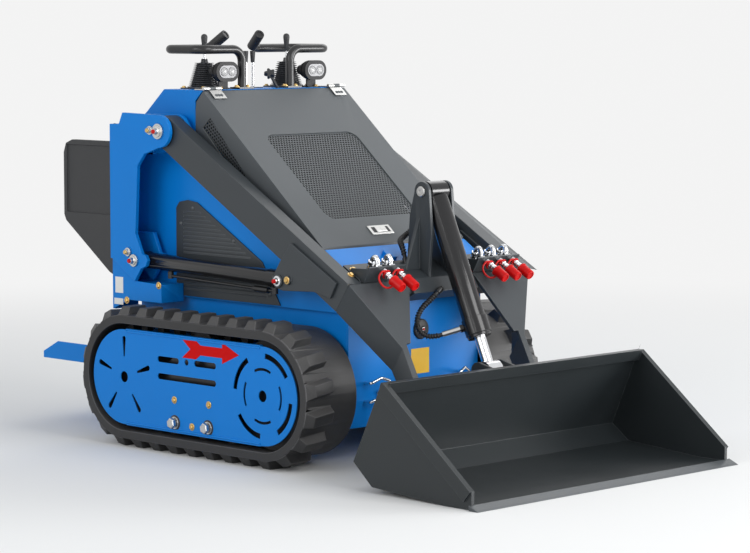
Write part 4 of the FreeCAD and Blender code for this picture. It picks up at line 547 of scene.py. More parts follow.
# Fasteners on the track guards, fenders, towers and arms
smallBolt = 11
guard = {"face": 431, "bolts": [(187, 147), (50, 147), (117, 82)], "lipZ": (66, 314), "lipY": (-150, 388),
         "lipR": 3.4, "lipTaper": 3, "lipSunk": 0.6}
guardNut = {"spots": [(186, 86), (54, 86)], "across": 25, "off": 8,
            # the hole is a flat black disc on the face, painted shade
            "hole": [(0, 21), (0.6, 20.6)],
            "seat": [(0.6, 16.5), (3.2, 16.5), (3.8, 15.8)],
            "stud": [(3.6, 7), (9, 7)]}
fender = {"face": 348, "bolts": [(344, 435), (478, 386)], "plateThick": 0.5,
          "plates": [(494, 527, 404, 448), (494, 532, 372, 389)]}
towerPin = {"face": 361, "spots": [(333, 852), (437, 498)], "bolts": [(365, 854), (461, 520)], "boltOff": 6,
            "end": [(3, 12), (4, 9), (6, 8.2), (12, 8.2), (12.6, 7.6)],
            "cap": [(12, 6), (15, 6), (16.5, 5), (17, 0)]}
armEye = {"face": 353, "spots": [(-130, 480)], "bolts": [(-166, 484)],
          "end": [(0, 14), (2, 13.4), (3, 9), (10, 8.2), (11, 7.6)],
          "cap": [(10.5, 6), (14, 6), (15.5, 5), (16, 0)]}


def sideBolts(shape, side, face, spots, washer=True):
    for y, z in spots:
        hexBolt(shape, mm(side * face, y, z), (side, 0, 0), smallBolt, washer)


def sideLathes(shape, side, face, spots, profile, sides):
    for y, z in spots:
        lathe(shape, mm(side * face, y, z), (side, 0, 0), profile, sides)


def chassisFasteners(side, word):
    gold, steel, holeShades, caps, lips = (bmesh.new() for _ in range(5))
    sideBolts(gold, side, guard["face"], guard["bolts"])
    sideBolts(gold, side, fender["face"], fender["bolts"])
    sideBolts(gold, side, towerPin["face"] + towerPin["boltOff"], towerPin["bolts"], False)
    # a flat black disc round each nut's seat: painted shade standing for the hole
    sideLathes(holeShades, side, guard["face"], guardNut["spots"], guardNut["hole"], 32)
    sideLathes(steel, side, guard["face"], guardNut["spots"], guardNut["seat"], 32)
    sideLathes(steel, side, guard["face"], guardNut["spots"], guardNut["stud"], 20)
    for y, z in guardNut["spots"]:
        place = mm(side * (guard["face"] + guardNut["off"]), y, z)
        hexBolt(steel, place, (side, 0, 0), guardNut["across"], False)
    sideLathes(steel, side, towerPin["face"], towerPin["spots"], towerPin["end"], 28)
    sideLathes(caps, side, towerPin["face"], towerPin["spots"], towerPin["cap"], 20)
    start, end = guard["lipY"]
    for z in guard["lipZ"]:
        lathe(lips, mm(side * (guard["face"] - guard["lipSunk"]), start, z), (0, 1, 0),
              [(0, 0), (guard["lipTaper"], guard["lipR"]), (end - start - guard["lipTaper"], guard["lipR"]),
               (end - start, 0)], 12)
    keep("chassisGoldBolts" + word, gold, "chassis", goldZinc)
    keep("guardNuts" + word, steel, "chassis", zincSteel)
    keep("guardLips" + word, lips, "chassis", bluePaint)
    keep("guardNutHoleShades" + word, holeShades, "chassis", blackPlastic)
    keep("pinCaps" + word, caps, "chassis", capRed)


def armFasteners(side, word):
    gold, steel, caps = (bmesh.new() for _ in range(3))
    sideBolts(gold, side, armEye["face"], armEye["bolts"])
    sideLathes(steel, side, armEye["face"], armEye["spots"], armEye["end"], 28)
    sideLathes(caps, side, armEye["face"], armEye["spots"], armEye["cap"], 20)
    keep("armEyeBolt" + word, gold, "lift_arms", goldZinc)
    keep("armEyePin" + word, steel, "lift_arms", chrome)
    keep("armEyeCap" + word, caps, "lift_arms", capRed)


# The guard's arrow points to the bucket
arrow = {"middle": 288, "tail": 155, "notch": 122, "tailEnd": 100, "neck": 82, "headStart": -3, "tip": -68,
         "tailHalf": 25, "shaftHalf": 13, "headHalf": 28, "thick": 0.5}
frontSign = {"face": -281, "plate": (-13, 55, 220, 287), "thick": 0.6}


def guardArrow(side, word):
    upper = [(arrow["tail"], arrow["tailHalf"]), (arrow["tailEnd"], arrow["tailHalf"]),
             (arrow["neck"], arrow["shaftHalf"]), (arrow["headStart"], arrow["shaftHalf"]),
             (arrow["headStart"], arrow["headHalf"])]
    lower = [(y, -z) for y, z in upper[::-1]]
    outline = upper + [(arrow["tip"], 0)] + lower + [(arrow["notch"], 0)]
    shape = bmesh.new()
    slab(shape, [mm(side * guard["face"], y, arrow["middle"] + z) for y, z in outline],
         mm(side * arrow["thick"], 0, 0))
    keep("guardArrow" + word, shape, "chassis", arrowRed)


def blankPlates(side, word):
    shape = bmesh.new()
    for plate in fender["plates"]:
        slab(shape, [mm(side * fender["face"], y, z) for y, z in rectangle(*plate)],
             mm(side * fender["plateThick"], 0, 0))
    keep("fenderPlates" + word, shape, "chassis", plateWhite)


print("stage: fasteners and plates")
for side, word in bothSides:
    chassisFasteners(side, word)
    armFasteners(side, word)
    guardArrow(side, word)
    blankPlates(side, word)
shape = bmesh.new()
slab(shape, [mm(x, frontSign["face"], z) for x, z in rectangle(*frontSign["plate"])],
     mm(0, -frontSign["thick"], 0))
keep("frontPlateSign", shape, "chassis", plateYellow)

# Louvres and screws of the access panels
louvre = {"face": 267, "pitch": 11, "high": 5.5, "proud": 2.4, "rear": 335, "endLean": 4, "shortest": 24,
          "low": 420, "top": 634, "gap": (480, 512), "knee": (22, 514), "peak": (290, 662), "lowSlope": 0.6,
          "inset": 34}
panelScrew = {"spots": [(297, 643), (132, 563), (345, 430), (-10, 430), (345, 600)],
              "head": [(0, 5), (1.2, 5), (2.2, 3.6), (2.4, 1.8), (1.5, 1.5)]}


def louvreFront(z):
    # the panel's front edge leans at one slope below its knee and at another above
    (kneeY, kneeZ), (peakY, peakZ) = louvre["knee"], louvre["peak"]
    slope = (peakY - kneeY) / (peakZ - kneeZ) if z > kneeZ else louvre["lowSlope"]
    return kneeY + (z - kneeZ) * slope + louvre["inset"]


def louvreSlat(shape, side, z):
    inner, outer = side * louvre["face"], side * (louvre["face"] + louvre["proud"])
    front, rear, top, lean = louvreFront(z), louvre["rear"], z + louvre["high"], louvre["endLean"]
    spots = [(inner, front, top), (outer, front + lean, z), (inner, front, z),
             (inner, rear, top), (outer, rear - lean, z), (inner, rear, z)]
    corners = [shape.verts.new(mm(*spot)) for spot in spots]
    faces = [shape.faces.new([corners[k] for k in order])
             for order in ((0, 1, 2), (5, 4, 3), (0, 3, 4, 1), (1, 4, 5, 2), (2, 5, 3, 0))]
    bmesh.ops.recalc_face_normals(shape, faces=faces)


for side, word in bothSides:
    slats, screws = bmesh.new(), bmesh.new()
    for z in spread(louvre["low"], louvre["top"], louvre["pitch"]):
        inGap = louvre["gap"][0] < z < louvre["gap"][1]
        if louvre["rear"] - louvreFront(z) > louvre["shortest"] and not inGap:
            louvreSlat(slats, side, z)
    sideLathes(screws, side, louvre["face"], panelScrew["spots"], panelScrew["head"], 20)
    keep("panelLouvres" + word, slats, "chassis", armPaint)
    keep("panelScrews" + word, screws, "chassis", edgeSteel)

# Perforated sheets in the hood, whose upper and lower edges are given in y and z
hoodFace = ((254, 960), (-207, 565))
perforation = {"pitch": 9.6, "hole": 3.5, "thick": 1.2}
frontMesh = {"half": 167.5, "top": 178.5, "low": 507.5, "corner": 31.5, "depth": -3}
cheekMesh = {"x": 262.5, "outline": [(67, -36), (63, -75), (267.5, -87.5), (268.5, -58.5)]}


def perforated(outline):
    # six-sided cells, each with a hole, cut to the outline and thickened, in millimetres
    pitch, hole = perforation["pitch"], perforation["hole"]
    lows = [min(point[k] for point in outline) - pitch for k in (0, 1)]
    highs = [max(point[k] for point in outline) + pitch for k in (0, 1)]
    shape = bmesh.new()
    cell = pitch / math.sqrt(3)
    angles = [math.pi / 6 + math.pi / 3 * k for k in range(6)]
    for row, v in enumerate(spread(lows[1], highs[1], pitch * math.sqrt(3) / 2)):
        for u in spread(lows[0] + (pitch / 2 if row % 2 else 0), highs[0], pitch):
            outer, inner = ([shape.verts.new((u + radius * math.cos(a), v + radius * math.sin(a), 0))
                             for a in angles] for radius in (cell, hole))
            for k in range(6):
                after = (k + 1) % 6
                shape.faces.new((outer[k], outer[after], inner[after], inner[k]))
    bmesh.ops.remove_doubles(shape, verts=shape.verts, dist=0.02)
    for start, end in zip(outline, outline[1:] + outline[:1]):
        run = Vector((end[0] - start[0], end[1] - start[1], 0))
        if run.length > 0.01:
            bmesh.ops.bisect_plane(shape, geom=shape.verts[:] + shape.edges[:] + shape.faces[:],
                                   plane_co=(*start, 0), plane_no=run.cross(Vector((0, 0, 1))),
                                   clear_outer=True)
    bmesh.ops.recalc_face_normals(shape, faces=shape.faces)
    for part in bmesh.ops.extrude_face_region(shape, geom=shape.faces[:])["geom"]:
        if isinstance(part, bmesh.types.BMVert):
            part.co.z -= perforation["thick"]
    return shape


def roundCornered(half, top, low, corner, steps=6):
    outline = []
    for u, v, start in ((half - corner, top + corner, -90), (half - corner, low - corner, 0),
                        (-half + corner, low - corner, 90), (-half + corner, top + corner, 180)):
        for step in range(steps + 1):
            angle = math.radians(start + 90 * step / steps)
            outline.append((u + corner * math.cos(angle), v + corner * math.sin(angle)))
    return outline


def keepSheet(name, sheet, spotOf, replaced=()):
    for vert in sheet.verts:
        vert.co = spotOf(*vert.co)
    bmesh.ops.recalc_face_normals(sheet, faces=sheet.faces)
    keep(name, sheet, "hood", meshPaint, replaced, 20)


print("stage: perforated hood sheets")
outline = roundCornered(frontMesh["half"], frontMesh["top"], frontMesh["low"], frontMesh["corner"])
keepSheet("hoodMeshFront", perforated(outline),
          lambda across, down, off: onFace(hoodFace, down, frontMesh["depth"] + off, across), ["hood_mesh"])
for side, word in bothSides:
    keepSheet("hoodMeshCheek" + word, perforated(cheekMesh["outline"]),
              lambda down, off, outside: onFace(hoodFace, down, off, side * (cheekMesh["x"] + outside)))

# Hinge leaves and their screws, and the hood's latch
leaf = {"inX": 204, "outX": 247, "top": 3, "low": 35, "off": 3.2, "thick": 1.2, "screwInset": 12,
        "screw": [(0, 5), (0.8, 4.8), (1.6, 3), (0.9, 1.4), (0.9, 0)]}
# each plate of the latch: half its width, half its height, its seat and its thickness
latch = {"x": -18, "down": 560, "frame": (40, 16, 0.2, 3), "recessShade": (31, 10, 3, 0.5),
         "paddle": (19, 9, 3, 2.5)}
hoodOut = leaning(hoodFace)[1] / 1000


def hoodLeaves():
    leaves, screws = bmesh.new(), bmesh.new()
    inner, outer, inset = leaf["inX"], leaf["outX"], leaf["screwInset"]
    for side in (-1, 1):
        corners = [onFace(hoodFace, down, leaf["off"], side * x)
                   for x, down in rectangle(inner, outer, leaf["top"], leaf["low"])]
        slab(leaves, corners, hoodOut * leaf["thick"])
        for x in (inner + inset, (inner + outer) / 2, outer - inset):
            place = onFace(hoodFace, leaf["low"] - inset, leaf["off"] + leaf["thick"], side * x)
            lathe(screws, place, hoodOut, leaf["screw"], 16)
    keep("hoodHingeLeaves", leaves, "hood", zincSteel, [], 30)
    keep("hoodHingeScrews", screws, "hood", edgeSteel)


def latchPlate(half, tall, seat, thick):
    shape = bmesh.new()
    slab(shape, [onFace(hoodFace, latch["down"] + v, seat, latch["x"] + u)
                 for u, v in rectangle(-half, half, -tall, tall)], hoodOut * thick)
    return shape


hoodLeaves()
keep("latchFrame", latchPlate(*latch["frame"]), "hood", zincSteel, ["hood_latch"], 30, 1)
# a flat black plate on the frame: painted shade standing for the recess round the paddle
keep("latchRecessShade", latchPlate(*latch["recessShade"]), "hood", blackPlastic)
keep("latchPaddle", latchPlate(*latch["paddle"]), "hood", zincSteel, [], 30, 1)

# Dark cooler core and liners behind the sheets
liner = {"off": -34, "half": 186, "top": 150, "low": 526, "thick": 2, "cheekX": 246,
         "cheekLine": [(56, -28), (56, -84), (276, -96), (276, -50)]}
coolerFin = {"pitch": 12, "deep": 6, "thick": 1.5, "inset": 4}
shape = bmesh.new()
slab(shape, [onFace(hoodFace, down, liner["off"], x) for x, down in
             rectangle(-liner["half"], liner["half"], liner["top"], liner["low"])], hoodOut * -liner["thick"])
for x in spread(-liner["half"] + coolerFin["pitch"], liner["half"], coolerFin["pitch"]):
    finSide = rectangle(liner["top"] + coolerFin["inset"], liner["low"] - coolerFin["inset"],
                        liner["off"], liner["off"] + coolerFin["deep"])
    slab(shape, [onFace(hoodFace, down, off, x) for down, off in finSide], mm(coolerFin["thick"], 0, 0))
for side in (-1, 1):
    slab(shape, [onFace(hoodFace, down, off, side * liner["cheekX"]) for down, off in liner["cheekLine"]],
         mm(-side * liner["thick"], 0, 0))
keep("hoodLiners", shape, "hood", bootRubber)

# Hydraulic couplers with their dust caps, on the cross member's sloping deck
deckFace = ((-379, 486), (-455, 444))
coupler = {"places": (-228, -180, 159, 208, 257), "off": 30,
           "stem": [(-26, 6), (-3, 6), (13, 6), (14, 9.5), (17, 9.5), (18, 8.4), (22, 8.4), (23, 9.3),
                    (26, 9.3), (27, 8.6), (30, 8.6), (31, 9.6), (38, 9.6)],
           "nuts": [(-18, -8), (-3, 6)], "nutR": 11.2, "nutEdgeR": 10, "nutTurn": 0.4}
elbow = {"route": [(-22, 0), (-28, 3), (-34, 13), (-42, 17), (-49, 10), (-50, -6), (-48, -28)],
         "radius": 6.8, "turn": 0.2,
         "topNut": ((-49.5, -8), [(0, 10), (1, 11), (8, 11), (9, 10)]),
         "footNut": ((-44, -29.7), [(0, 11), (7, 11), (8, 9.5), (8, 7), (13, 7)]),
         "backNut": ((-30, 0), [(0, 9), (1, 10), (6, 10), (7, 9)])}
dustCap = {"profile": [(38, 9.8), (38, 14.7), (41, 15), (43, 13.7), (50, 13.5), (73, 13), (75.2, 12.3),
                       (76, 10.5), (76, 9), (74.5, 8.5), (74.5, 0)],
           "ringAt": 11, "ringR": 10.5, "ringThick": 2.4, "strapR": 2.6,
           "strap": [(11, 11, -2), (8, 7, -17), (14, -6, -27), (28, -17, -25), (40, -21, -14),
                     (46, -14.5, -3)]}
deckBolts = {"spots": [(-297, -40), (-270, -62), (-140, -60), (112, -60), (268, -62)], "seat": 0.2}


def couplerStem(shape, base, forward):
    lathe(shape, base, forward, coupler["stem"], 28)
    edgeR, nutR = coupler["nutEdgeR"], coupler["nutR"]
    for low, high in coupler["nuts"]:
        profile = [(low, edgeR), (low + 1, nutR), (high - 1, nutR), (high, edgeR)]
        lathe(shape, base, forward, profile, 6, coupler["nutTurn"])


def couplerElbow(shape, x, forward, upward):
    route = [onFace(deckFace, down, coupler["off"] + off, x) for down, off in elbow["route"]]
    tube(shape, smoothLine(route, 5), elbow["radius"], 16)
    for nut, direction in (("topNut", upward), ("footNut", upward), ("backNut", -forward)):
        (down, off), profile = elbow[nut]
        lathe(shape, onFace(deckFace, down, coupler["off"] + off, x), direction, profile, 6, elbow["turn"])


def couplerCap(shape, x, base, forward, upward):
    lathe(shape, base, forward, dustCap["profile"], 32)
    ring = ringPoints(onFace(deckFace, dustCap["ringAt"], coupler["off"], x), Vector((1, 0, 0)), upward,
                      dustCap["ringR"], 20)
    tube(shape, ring, dustCap["ringThick"], 8, True)
    strap = [onFace(deckFace, down, coupler["off"] + off, x + across)
             for down, off, across in dustCap["strap"]]
    tube(shape, smoothLine(strap), dustCap["strapR"], 10)


print("stage: couplers")
forward, upward = leaning(deckFace)
stems, caps, elbows, bolts = (bmesh.new() for _ in range(4))
for x in coupler["places"]:
    base = onFace(deckFace, 0, coupler["off"], x)
    couplerStem(stems, base, forward)
    couplerElbow(elbows, x, forward, upward)
    couplerCap(caps, x, base, forward, upward)
for x, down in deckBolts["spots"]:
    hexBolt(bolts, onFace(deckFace, down, deckBolts["seat"], x), upward, smallBolt)
keep("couplerStems", stems, "lift_arms", chrome, ["couplers"], 34)
keep("couplerElbows", elbows, "lift_arms", chrome, [], 34)
keep("couplerDustCaps", caps, "lift_arms", capRed, ["coupler_caps"], 34)
keep("deckBolts", bolts, "lift_arms", goldZinc)

# Hand controls
consoleTop = 962
joystick = {"x": 154, "y": 373, "plateHalf": 47, "plateThick": 3, "boltOut": 40, "boltAcross": 8,
            "bootLow": 44, "bootHigh": 27, "rodR": 4, "rodLow": 80, "rodTop": 106,
            "ribs": 12, "ribStart": 7, "ribSpan": 60, "flange": [(3, 47), (6, 47)],
            "rib": [(0, -7), (1.2, -6.5), (2.0, -0.6), (2.6, 0), (3.4, 0)],
            "collar": [(71, 14), (72, 10), (81, 8.5), (82, 6)],
            "knob": [(100, 5.4), (102, 6.2), (112, 6.4), (124, 7.4), (138, 9), (143, 8.8), (147, 6.8),
                     (149, 3.6), (149.6, 0)]}
lever = {"x": 13, "y": 360, "rodR": 4, "rodTop": 80, "plate": (30, 24, 1),
         "knob": [(70, 5), (72, 5.6), (86, 6.6), (100, 7.6), (102, 7)]}
handleBolt = {"x": 90, "y": 291, "apart": 19, "rise": 5, "across": 10}
throttle = {"foot": (32, 279), "lean": (-0.42, 0.35, 1), "rod": [(0, 6), (3, 6), (4, 4), (42, 4)],
            "starAt": 45, "starBack": 6, "facing": (-0.45, -0.55, 0.7), "starR": 12.5, "lobe": 3.4,
            "lobes": 5, "thick": 13, "steps": 40}
handle = {"end": (64, 387, 1109), "run": (-15, -52, 39), "gripLong": 60,
          "grip": [(0, 12.1), (1, 14), (58, 14), (62, 13.4), (62, 8.6), (61, 8), (48, 8), (48, 0)]}
skyward = (0, 0, 1)


def bellowsProfile():
    ribs = []
    for index in range(joystick["ribs"]):
        share = index / (joystick["ribs"] - 1)
        radius = joystick["bootLow"] + (joystick["bootHigh"] - joystick["bootLow"]) * share
        height = joystick["ribStart"] + joystick["ribSpan"] * share
        ribs += [(height + up, radius + out) for up, out in joystick["rib"]]
    return joystick["flange"] + ribs + joystick["collar"]


def throttleStar():
    shape = bmesh.new()
    foot = mm(*throttle["foot"], consoleTop)
    lean = Vector(throttle["lean"]).normalized()
    lathe(shape, foot, lean, throttle["rod"], 16)
    facing, across, over = axes(throttle["facing"])
    back = foot + (lean * throttle["starAt"] - facing * throttle["starBack"]) / 1000
    ring = []
    for step in range(throttle["steps"]):
        angle = 2 * math.pi * step / throttle["steps"]
        radius = throttle["starR"] + throttle["lobe"] * math.cos(throttle["lobes"] * angle)
        ring.append(back + (across * math.cos(angle) + over * math.sin(angle)) * (radius / 1000))
    slab(shape, ring, facing * (throttle["thick"] / 1000))
    keep("throttleStar", shape, "chassis", blackPlastic, ["throttle_knob"], 40, 0.8)


def handleGrips():
    shape = bmesh.new()
    endX, endY, endZ = handle["end"]
    runX, runY, runZ = handle["run"]
    for side in (-1, 1):
        run = Vector((side * runX, runY, runZ)).normalized()
        lathe(shape, mm(side * endX, endY, endZ) - run * (handle["gripLong"] / 1000), run, handle["grip"], 32)
    keep("handleGrips", shape, "chassis", bootRubber)


print("stage: hand controls")
boots, sticks, knobs, plates, bolts = (bmesh.new() for _ in range(5))
for side in (-1, 1):
    x, y = side * joystick["x"], joystick["y"]
    foot = mm(x, y, consoleTop)
    halfThick = joystick["plateThick"] / 2
    block(plates, mm(x, y, consoleTop + halfThick), (joystick["plateHalf"], joystick["plateHalf"], halfThick))
    lathe(boots, foot, skyward, bellowsProfile(), 40)
    lathe(sticks, foot, skyward, [(joystick["rodLow"], joystick["rodR"]),
                                  (joystick["rodTop"], joystick["rodR"])], 16)
    lathe(knobs, foot, skyward, joystick["knob"], 28)
    for dx, dy in rectangle(-1, 1, -1, 1):
        hexBolt(bolts, mm(x + dx * joystick["boltOut"], y + dy * joystick["boltOut"],
                          consoleTop + joystick["plateThick"]), skyward, joystick["boltAcross"])
    for dx in (-handleBolt["apart"], handleBolt["apart"]):
        hexBolt(bolts, mm(side * handleBolt["x"] + dx, handleBolt["y"], consoleTop + handleBolt["rise"]),
                skyward, handleBolt["across"])
    foot = mm(side * lever["x"], lever["y"], consoleTop)
    lathe(sticks, foot, skyward, [(0, lever["rodR"]), (lever["rodTop"], lever["rodR"])], 16)
    lathe(knobs, foot, skyward, lever["knob"])
block(plates, mm(0, lever["y"], consoleTop + 1), lever["plate"])
keep("joystickBellows", boots, "chassis", bellowsRubber, ["joystick_boots"], 30)
keep("controlRods", sticks, "chassis", chrome, ["joysticks", "console_levers"])
keep("controlKnobs", knobs, "chassis", blackPlastic)
keep("controlPlates", plates, "chassis", blackPaint, [], 30, 0.6)
keep("consoleBolts", bolts, "chassis", goldZinc)
throttleStar()
handleGrips()

# Work lamps: a tapered housing with cooling fins, a bezel, and two lenses in their bowls.
# A ring is given by its depth behind the lamp's face and its insets from the sides and from the top.
lamp = {"x": 165, "y": 286, "z": 1010, "wide": 82, "high": 54, "deep": 42,
        "housing": [(0, 0, 0), (14, 0, 0), (18, 4, 2), (40, 15, 11), (58, 22, 14), (60, 24, 16)],
        "fins": 4, "firstFin": (20, 3, 2), "finStep": (5, 3, 1.6), "finThick": 1.6,
        "bezel": [(0, 10, 10), (-1.2, 10, 10), (-1.6, 10.6, 10.6)],
        "apart": 14, "lensOut": 1.4, "bowl": [(0, 12.5), (1.4, 12.5), (1.4, 11.3), (0.4, 10.5)],
        "lens": [(0.2, 10.9), (1.0, 10.7), (2.0, 7), (2.6, 3), (2.7, 0)],
        "stalk": (16, 3, 13), "stalkDrop": 36, "foot": (22, 14, 1.5), "boltSpot": (14, -6), "boltAcross": 8}


def lampOvals(shape, centre, rings):
    half, high, front = lamp["wide"] / 2, lamp["high"] / 2, -lamp["deep"] / 2
    oval(shape, centre, [(front + depth, half - sideIn, high - topIn) for depth, sideIn, topIn in rings])


def lampHousing(shape, centre):
    lampOvals(shape, centre, lamp["housing"])
    for fin in range(lamp["fins"]):
        depth, sideIn, topIn = (start + fin * step for start, step in zip(lamp["firstFin"], lamp["finStep"]))
        lampOvals(shape, centre, [(depth, sideIn, topIn), (depth + lamp["finThick"], sideIn, topIn)])
    block(shape, centre - mm(0, 0, lamp["stalkDrop"]), lamp["stalk"])


housings, bezels, bowls, lenses, bolts = (bmesh.new() for _ in range(5))
for side in (-1, 1):
    centre = mm(side * lamp["x"], lamp["y"], lamp["z"])
    lampHousing(housings, centre)
    lampOvals(bezels, centre, lamp["bezel"])
    for shift in (-1, 1):
        spot = centre + mm(shift * lamp["apart"], -lamp["deep"] / 2 - lamp["lensOut"], 0)
        lathe(bowls, spot, (0, -1, 0), lamp["bowl"], 32)
        lathe(lenses, spot, (0, -1, 0), lamp["lens"], 32)
    footHalf = lamp["foot"][2]
    block(housings, mm(side * lamp["x"], lamp["y"], consoleTop + footHalf), lamp["foot"])
    dx, dy = lamp["boltSpot"]
    hexBolt(bolts, mm(side * (lamp["x"] + dx), lamp["y"] + dy, consoleTop + 2 * footHalf), skyward,
            lamp["boltAcross"])
keep("lampHousings", housings, "chassis", lampBlack, ["work_lamps"], 30)
keep("lampBolts", bolts, "chassis", goldZinc)
keep("lampBezels", bezels, "chassis", reflector, [], 30)
keep("lampBowls", bowls, "chassis", bowlSilver, [], 30)
keep("lampLenses", lenses, "chassis", lampLens, [], 50)

# Grommet on the front plate, and the tilt pin's ends
grommet = {"x": 23, "z": 338, "face": -281, "nutAt": -287, "capAt": -291, "nutAcross": 12,
           "ring": [(0, 27), (3, 27), (5.5, 25), (7, 20), (8, 13), (8, 9), (6, 8), (6, 0)],
           "cap": [(0, 3.4), (2.4, 3.2), (3, 2), (3, 0)]}
tiltPin = {"x": 51, "y": -351, "z": 707, "end": [(0, 13), (1.2, 13), (2, 12), (2, 5), (1, 4), (1, 0)]}
ring, nut, cap, pinEnds = (bmesh.new() for _ in range(4))
lathe(ring, mm(grommet["x"], grommet["face"], grommet["z"]), (0, -1, 0), grommet["ring"], 40)
hexBolt(nut, mm(grommet["x"], grommet["nutAt"], grommet["z"]), (0, -1, 0), grommet["nutAcross"], False)
lathe(cap, mm(grommet["x"], grommet["capAt"], grommet["z"]), (0, -1, 0), grommet["cap"], 16)
for side in (-1, 1):
    sideLathes(pinEnds, side, tiltPin["x"], [(tiltPin["y"], tiltPin["z"])], tiltPin["end"], 28)
keep("frontGrommet", ring, "chassis", bootRubber, ["front_plug"], 30)
keep("grommetNut", nut, "chassis", chrome)
keep("grommetCap", cap, "chassis", capRed)
keep("tiltPinEnds", pinEnds, "lift_arms", zincSteel)

# Rear service cover with its slats
rear = {"face": 539, "half": 190, "low": 300, "top": 700, "thick": 2.5, "slats": 9, "slatPitch": 14,
        "slatLow": 560, "slatHalf": 120, "slat": [(2.4, 0), (6.5, 0), (2.4, 8)], "boltInset": 16,
        "boltShares": (0.05, 0.5, 0.95)}
print("stage: rear cover and panel")
door, slats, bolts = (bmesh.new() for _ in range(3))
slab(door, [mm(x, rear["face"], z) for x, z in
            rectangle(-rear["half"], rear["half"], rear["low"], rear["top"])], mm(0, rear["thick"], 0))
for index in range(rear["slats"]):
    z = rear["slatLow"] + index * rear["slatPitch"]
    slab(slats, [mm(-rear["slatHalf"], rear["face"] + off, z + up) for off, up in rear["slat"]],
         mm(2 * rear["slatHalf"], 0, 0))
for x in (-rear["half"] + rear["boltInset"], rear["half"] - rear["boltInset"]):
    for share in rear["boltShares"]:
        z = rear["low"] + (rear["top"] - rear["low"]) * share
        hexBolt(bolts, mm(x, rear["face"] + rear["thick"], z), (0, 1, 0), smallBolt)
keep("rearCover", door, "chassis", bluePaint, [], 30, 1)
keep("rearSlats", slats, "chassis", armPaint, [], 20)
keep("rearCoverBolts", bolts, "chassis", goldZinc)

# Operator's panel on the console's rear slope: two dials, two switches, a button and a stop
slopeFace = ((418, 962), (492, 898))
panel = {"half": 120, "top": 22, "low": 78, "off": 0.2, "thick": 2, "middle": 50,
         "dials": [(-80, 22), (-24, 17)], "dialRing": [(0, 0), (2.5, 0), (3.5, 1), (3.5, 3), (1, 4)],
         "switches": (22, 46), "switch": (8, 11.5, 3), "buttonX": 74,
         "button": [(0, 10), (4, 10), (5, 8), (5, 3), (2, 3), (2, 0)], "stopX": 100,
         "stop": [(0, 6), (6, 6), (7, 12), (11, 12), (13, 9), (13.5, 0)]}


def onPanel(x, off=panel["thick"]):
    return onFace(slopeFace, panel["middle"], off, x)


along, outward = leaning(slopeFace)
plate, dials, rings, stops = (bmesh.new() for _ in range(4))
slab(plate, [onFace(slopeFace, down, panel["off"], x) for x, down in
             rectangle(-panel["half"], panel["half"], panel["top"], panel["low"])],
     outward * (panel["thick"] / 1000))
for x, radius in panel["dials"]:
    lathe(rings, onPanel(x), outward, [(up, radius - inset) for up, inset in panel["dialRing"]], 36)
    lathe(dials, onPanel(x), outward, [(0, radius - 3), (1.4, radius - 3), (1.6, 0)], 36)
for x in panel["switches"]:
    block(dials, onPanel(x, 2 * panel["thick"]), panel["switch"],
          Matrix.Rotation(math.atan2(along.z, along.y), 3, "X"))
lathe(rings, onPanel(panel["buttonX"]), outward, panel["button"], 28)
lathe(stops, onPanel(panel["stopX"]), outward, panel["stop"], 28)
keep("operatorPanel", plate, "chassis", blackPaint, [], 30, 0.6)
keep("panelDials", dials, "chassis", blackPlastic)
keep("panelRings", rings, "chassis", chrome)
keep("panelStop", stops, "chassis", capRed)

# Studs on the platform
stud = {"lowY": 630, "highY": 950, "step": 32, "perHalf": 7, "base": 189,
        "profile": [(0, 6), (1.2, 5), (1.6, 3.4), (1.0, 2), (0.6, 0)]}
studs = bmesh.new()
for y in spread(stud["lowY"], stud["highY"], stud["step"]):
    for place in range(-stud["perHalf"], stud["perHalf"] + 1):
        lathe(studs, mm(place * stud["step"], y, stud["base"]), skyward, stud["profile"], 12)
keep("platformStuds", studs, "platform_body", bluePaint)

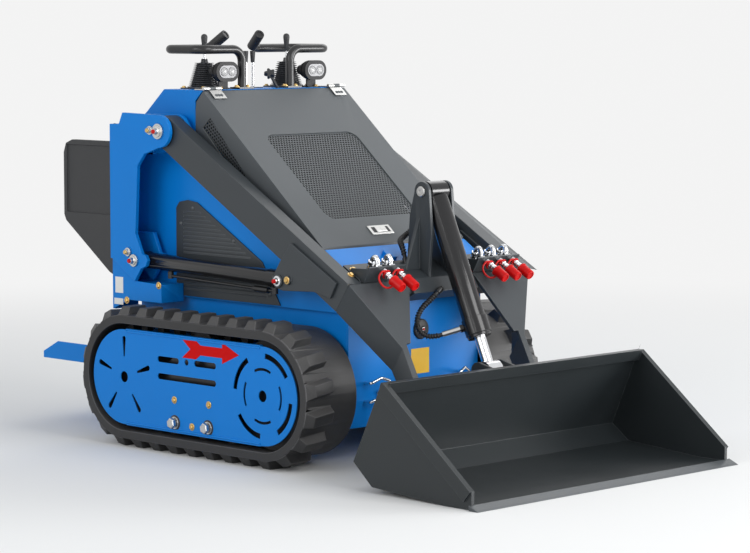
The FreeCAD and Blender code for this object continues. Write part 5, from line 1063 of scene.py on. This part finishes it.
# Tilt cylinder hoses in a spiral guard
hoseFit = {"coreR": 5.2, "wrapR": 8.0, "wrapPitch": 8.4, "ribbon": 4.0, "perTurn": 14, "bareEnds": 3}
hoseRoutes = {
    "tilt_hose_upper": [(0, -304.1, 620.5), (0, -279.4, 609.5), (-13, -266, 590), (-38, -266, 578),
                        (-61, -288, 572), (-68, -306, 556), (-68, -312, 534)],
    "tilt_hose_lower": [(-63.6, -443.2, 343.1), (-82.7, -425.7, 335.3), (-102, -407, 343), (-113, -398, 365),
                        (-110, -399, 391), (-94, -402, 414), (-69, -405, 430), (-45, -408, 448)],
}


def routeLine(points):
    curve = bpy.data.curves.new("route", "CURVE")
    curve.dimensions = "3D"
    curve.resolution_u = 16
    spline = curve.splines.new("NURBS")
    spline.points.add(len(points) - 1)
    for knot, point in zip(spline.points, points):
        knot.co = (*mm(*point), 1)
    spline.order_u = 3
    spline.use_endpoint_u = True
    thing = bpy.data.objects.new("route", curve)
    mesh = bpy.data.meshes.new_from_object(thing)
    line = [vert.co.copy() for vert in mesh.vertices]
    bpy.data.objects.remove(thing)
    return line


def spiralLine(line, radius):
    step = hoseFit["wrapPitch"] / hoseFit["perTurn"] / 1000
    spots = []
    side = None
    for start, end in zip(line, line[1:]):
        along = (end - start).normalized()
        if side is None:
            side = axes(along)[1]
        side = (side - along * side.dot(along)).normalized()
        up = along.cross(side)
        for done in spread(0, (end - start).length, step):
            angle = 2 * math.pi * len(spots) / hoseFit["perTurn"]
            outward = side * math.cos(angle) + up * math.sin(angle)
            spots.append(start + along * done + outward * (radius / 1000))
    return spots


print("stage: hoses")
for node, points in hoseRoutes.items():
    line = routeLine(points)
    ribbonR = hoseFit["ribbon"] / 2
    wrapped = line[hoseFit["bareEnds"]:-hoseFit["bareEnds"]]
    shape = bmesh.new()
    tube(shape, line, hoseFit["coreR"], 16)
    tube(shape, spiralLine(wrapped, hoseFit["wrapR"] - ribbonR), ribbonR, 8)
    hose = keep("spiral" + title(node), shape, None, bootRubber, [node], 50)
    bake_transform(hose)
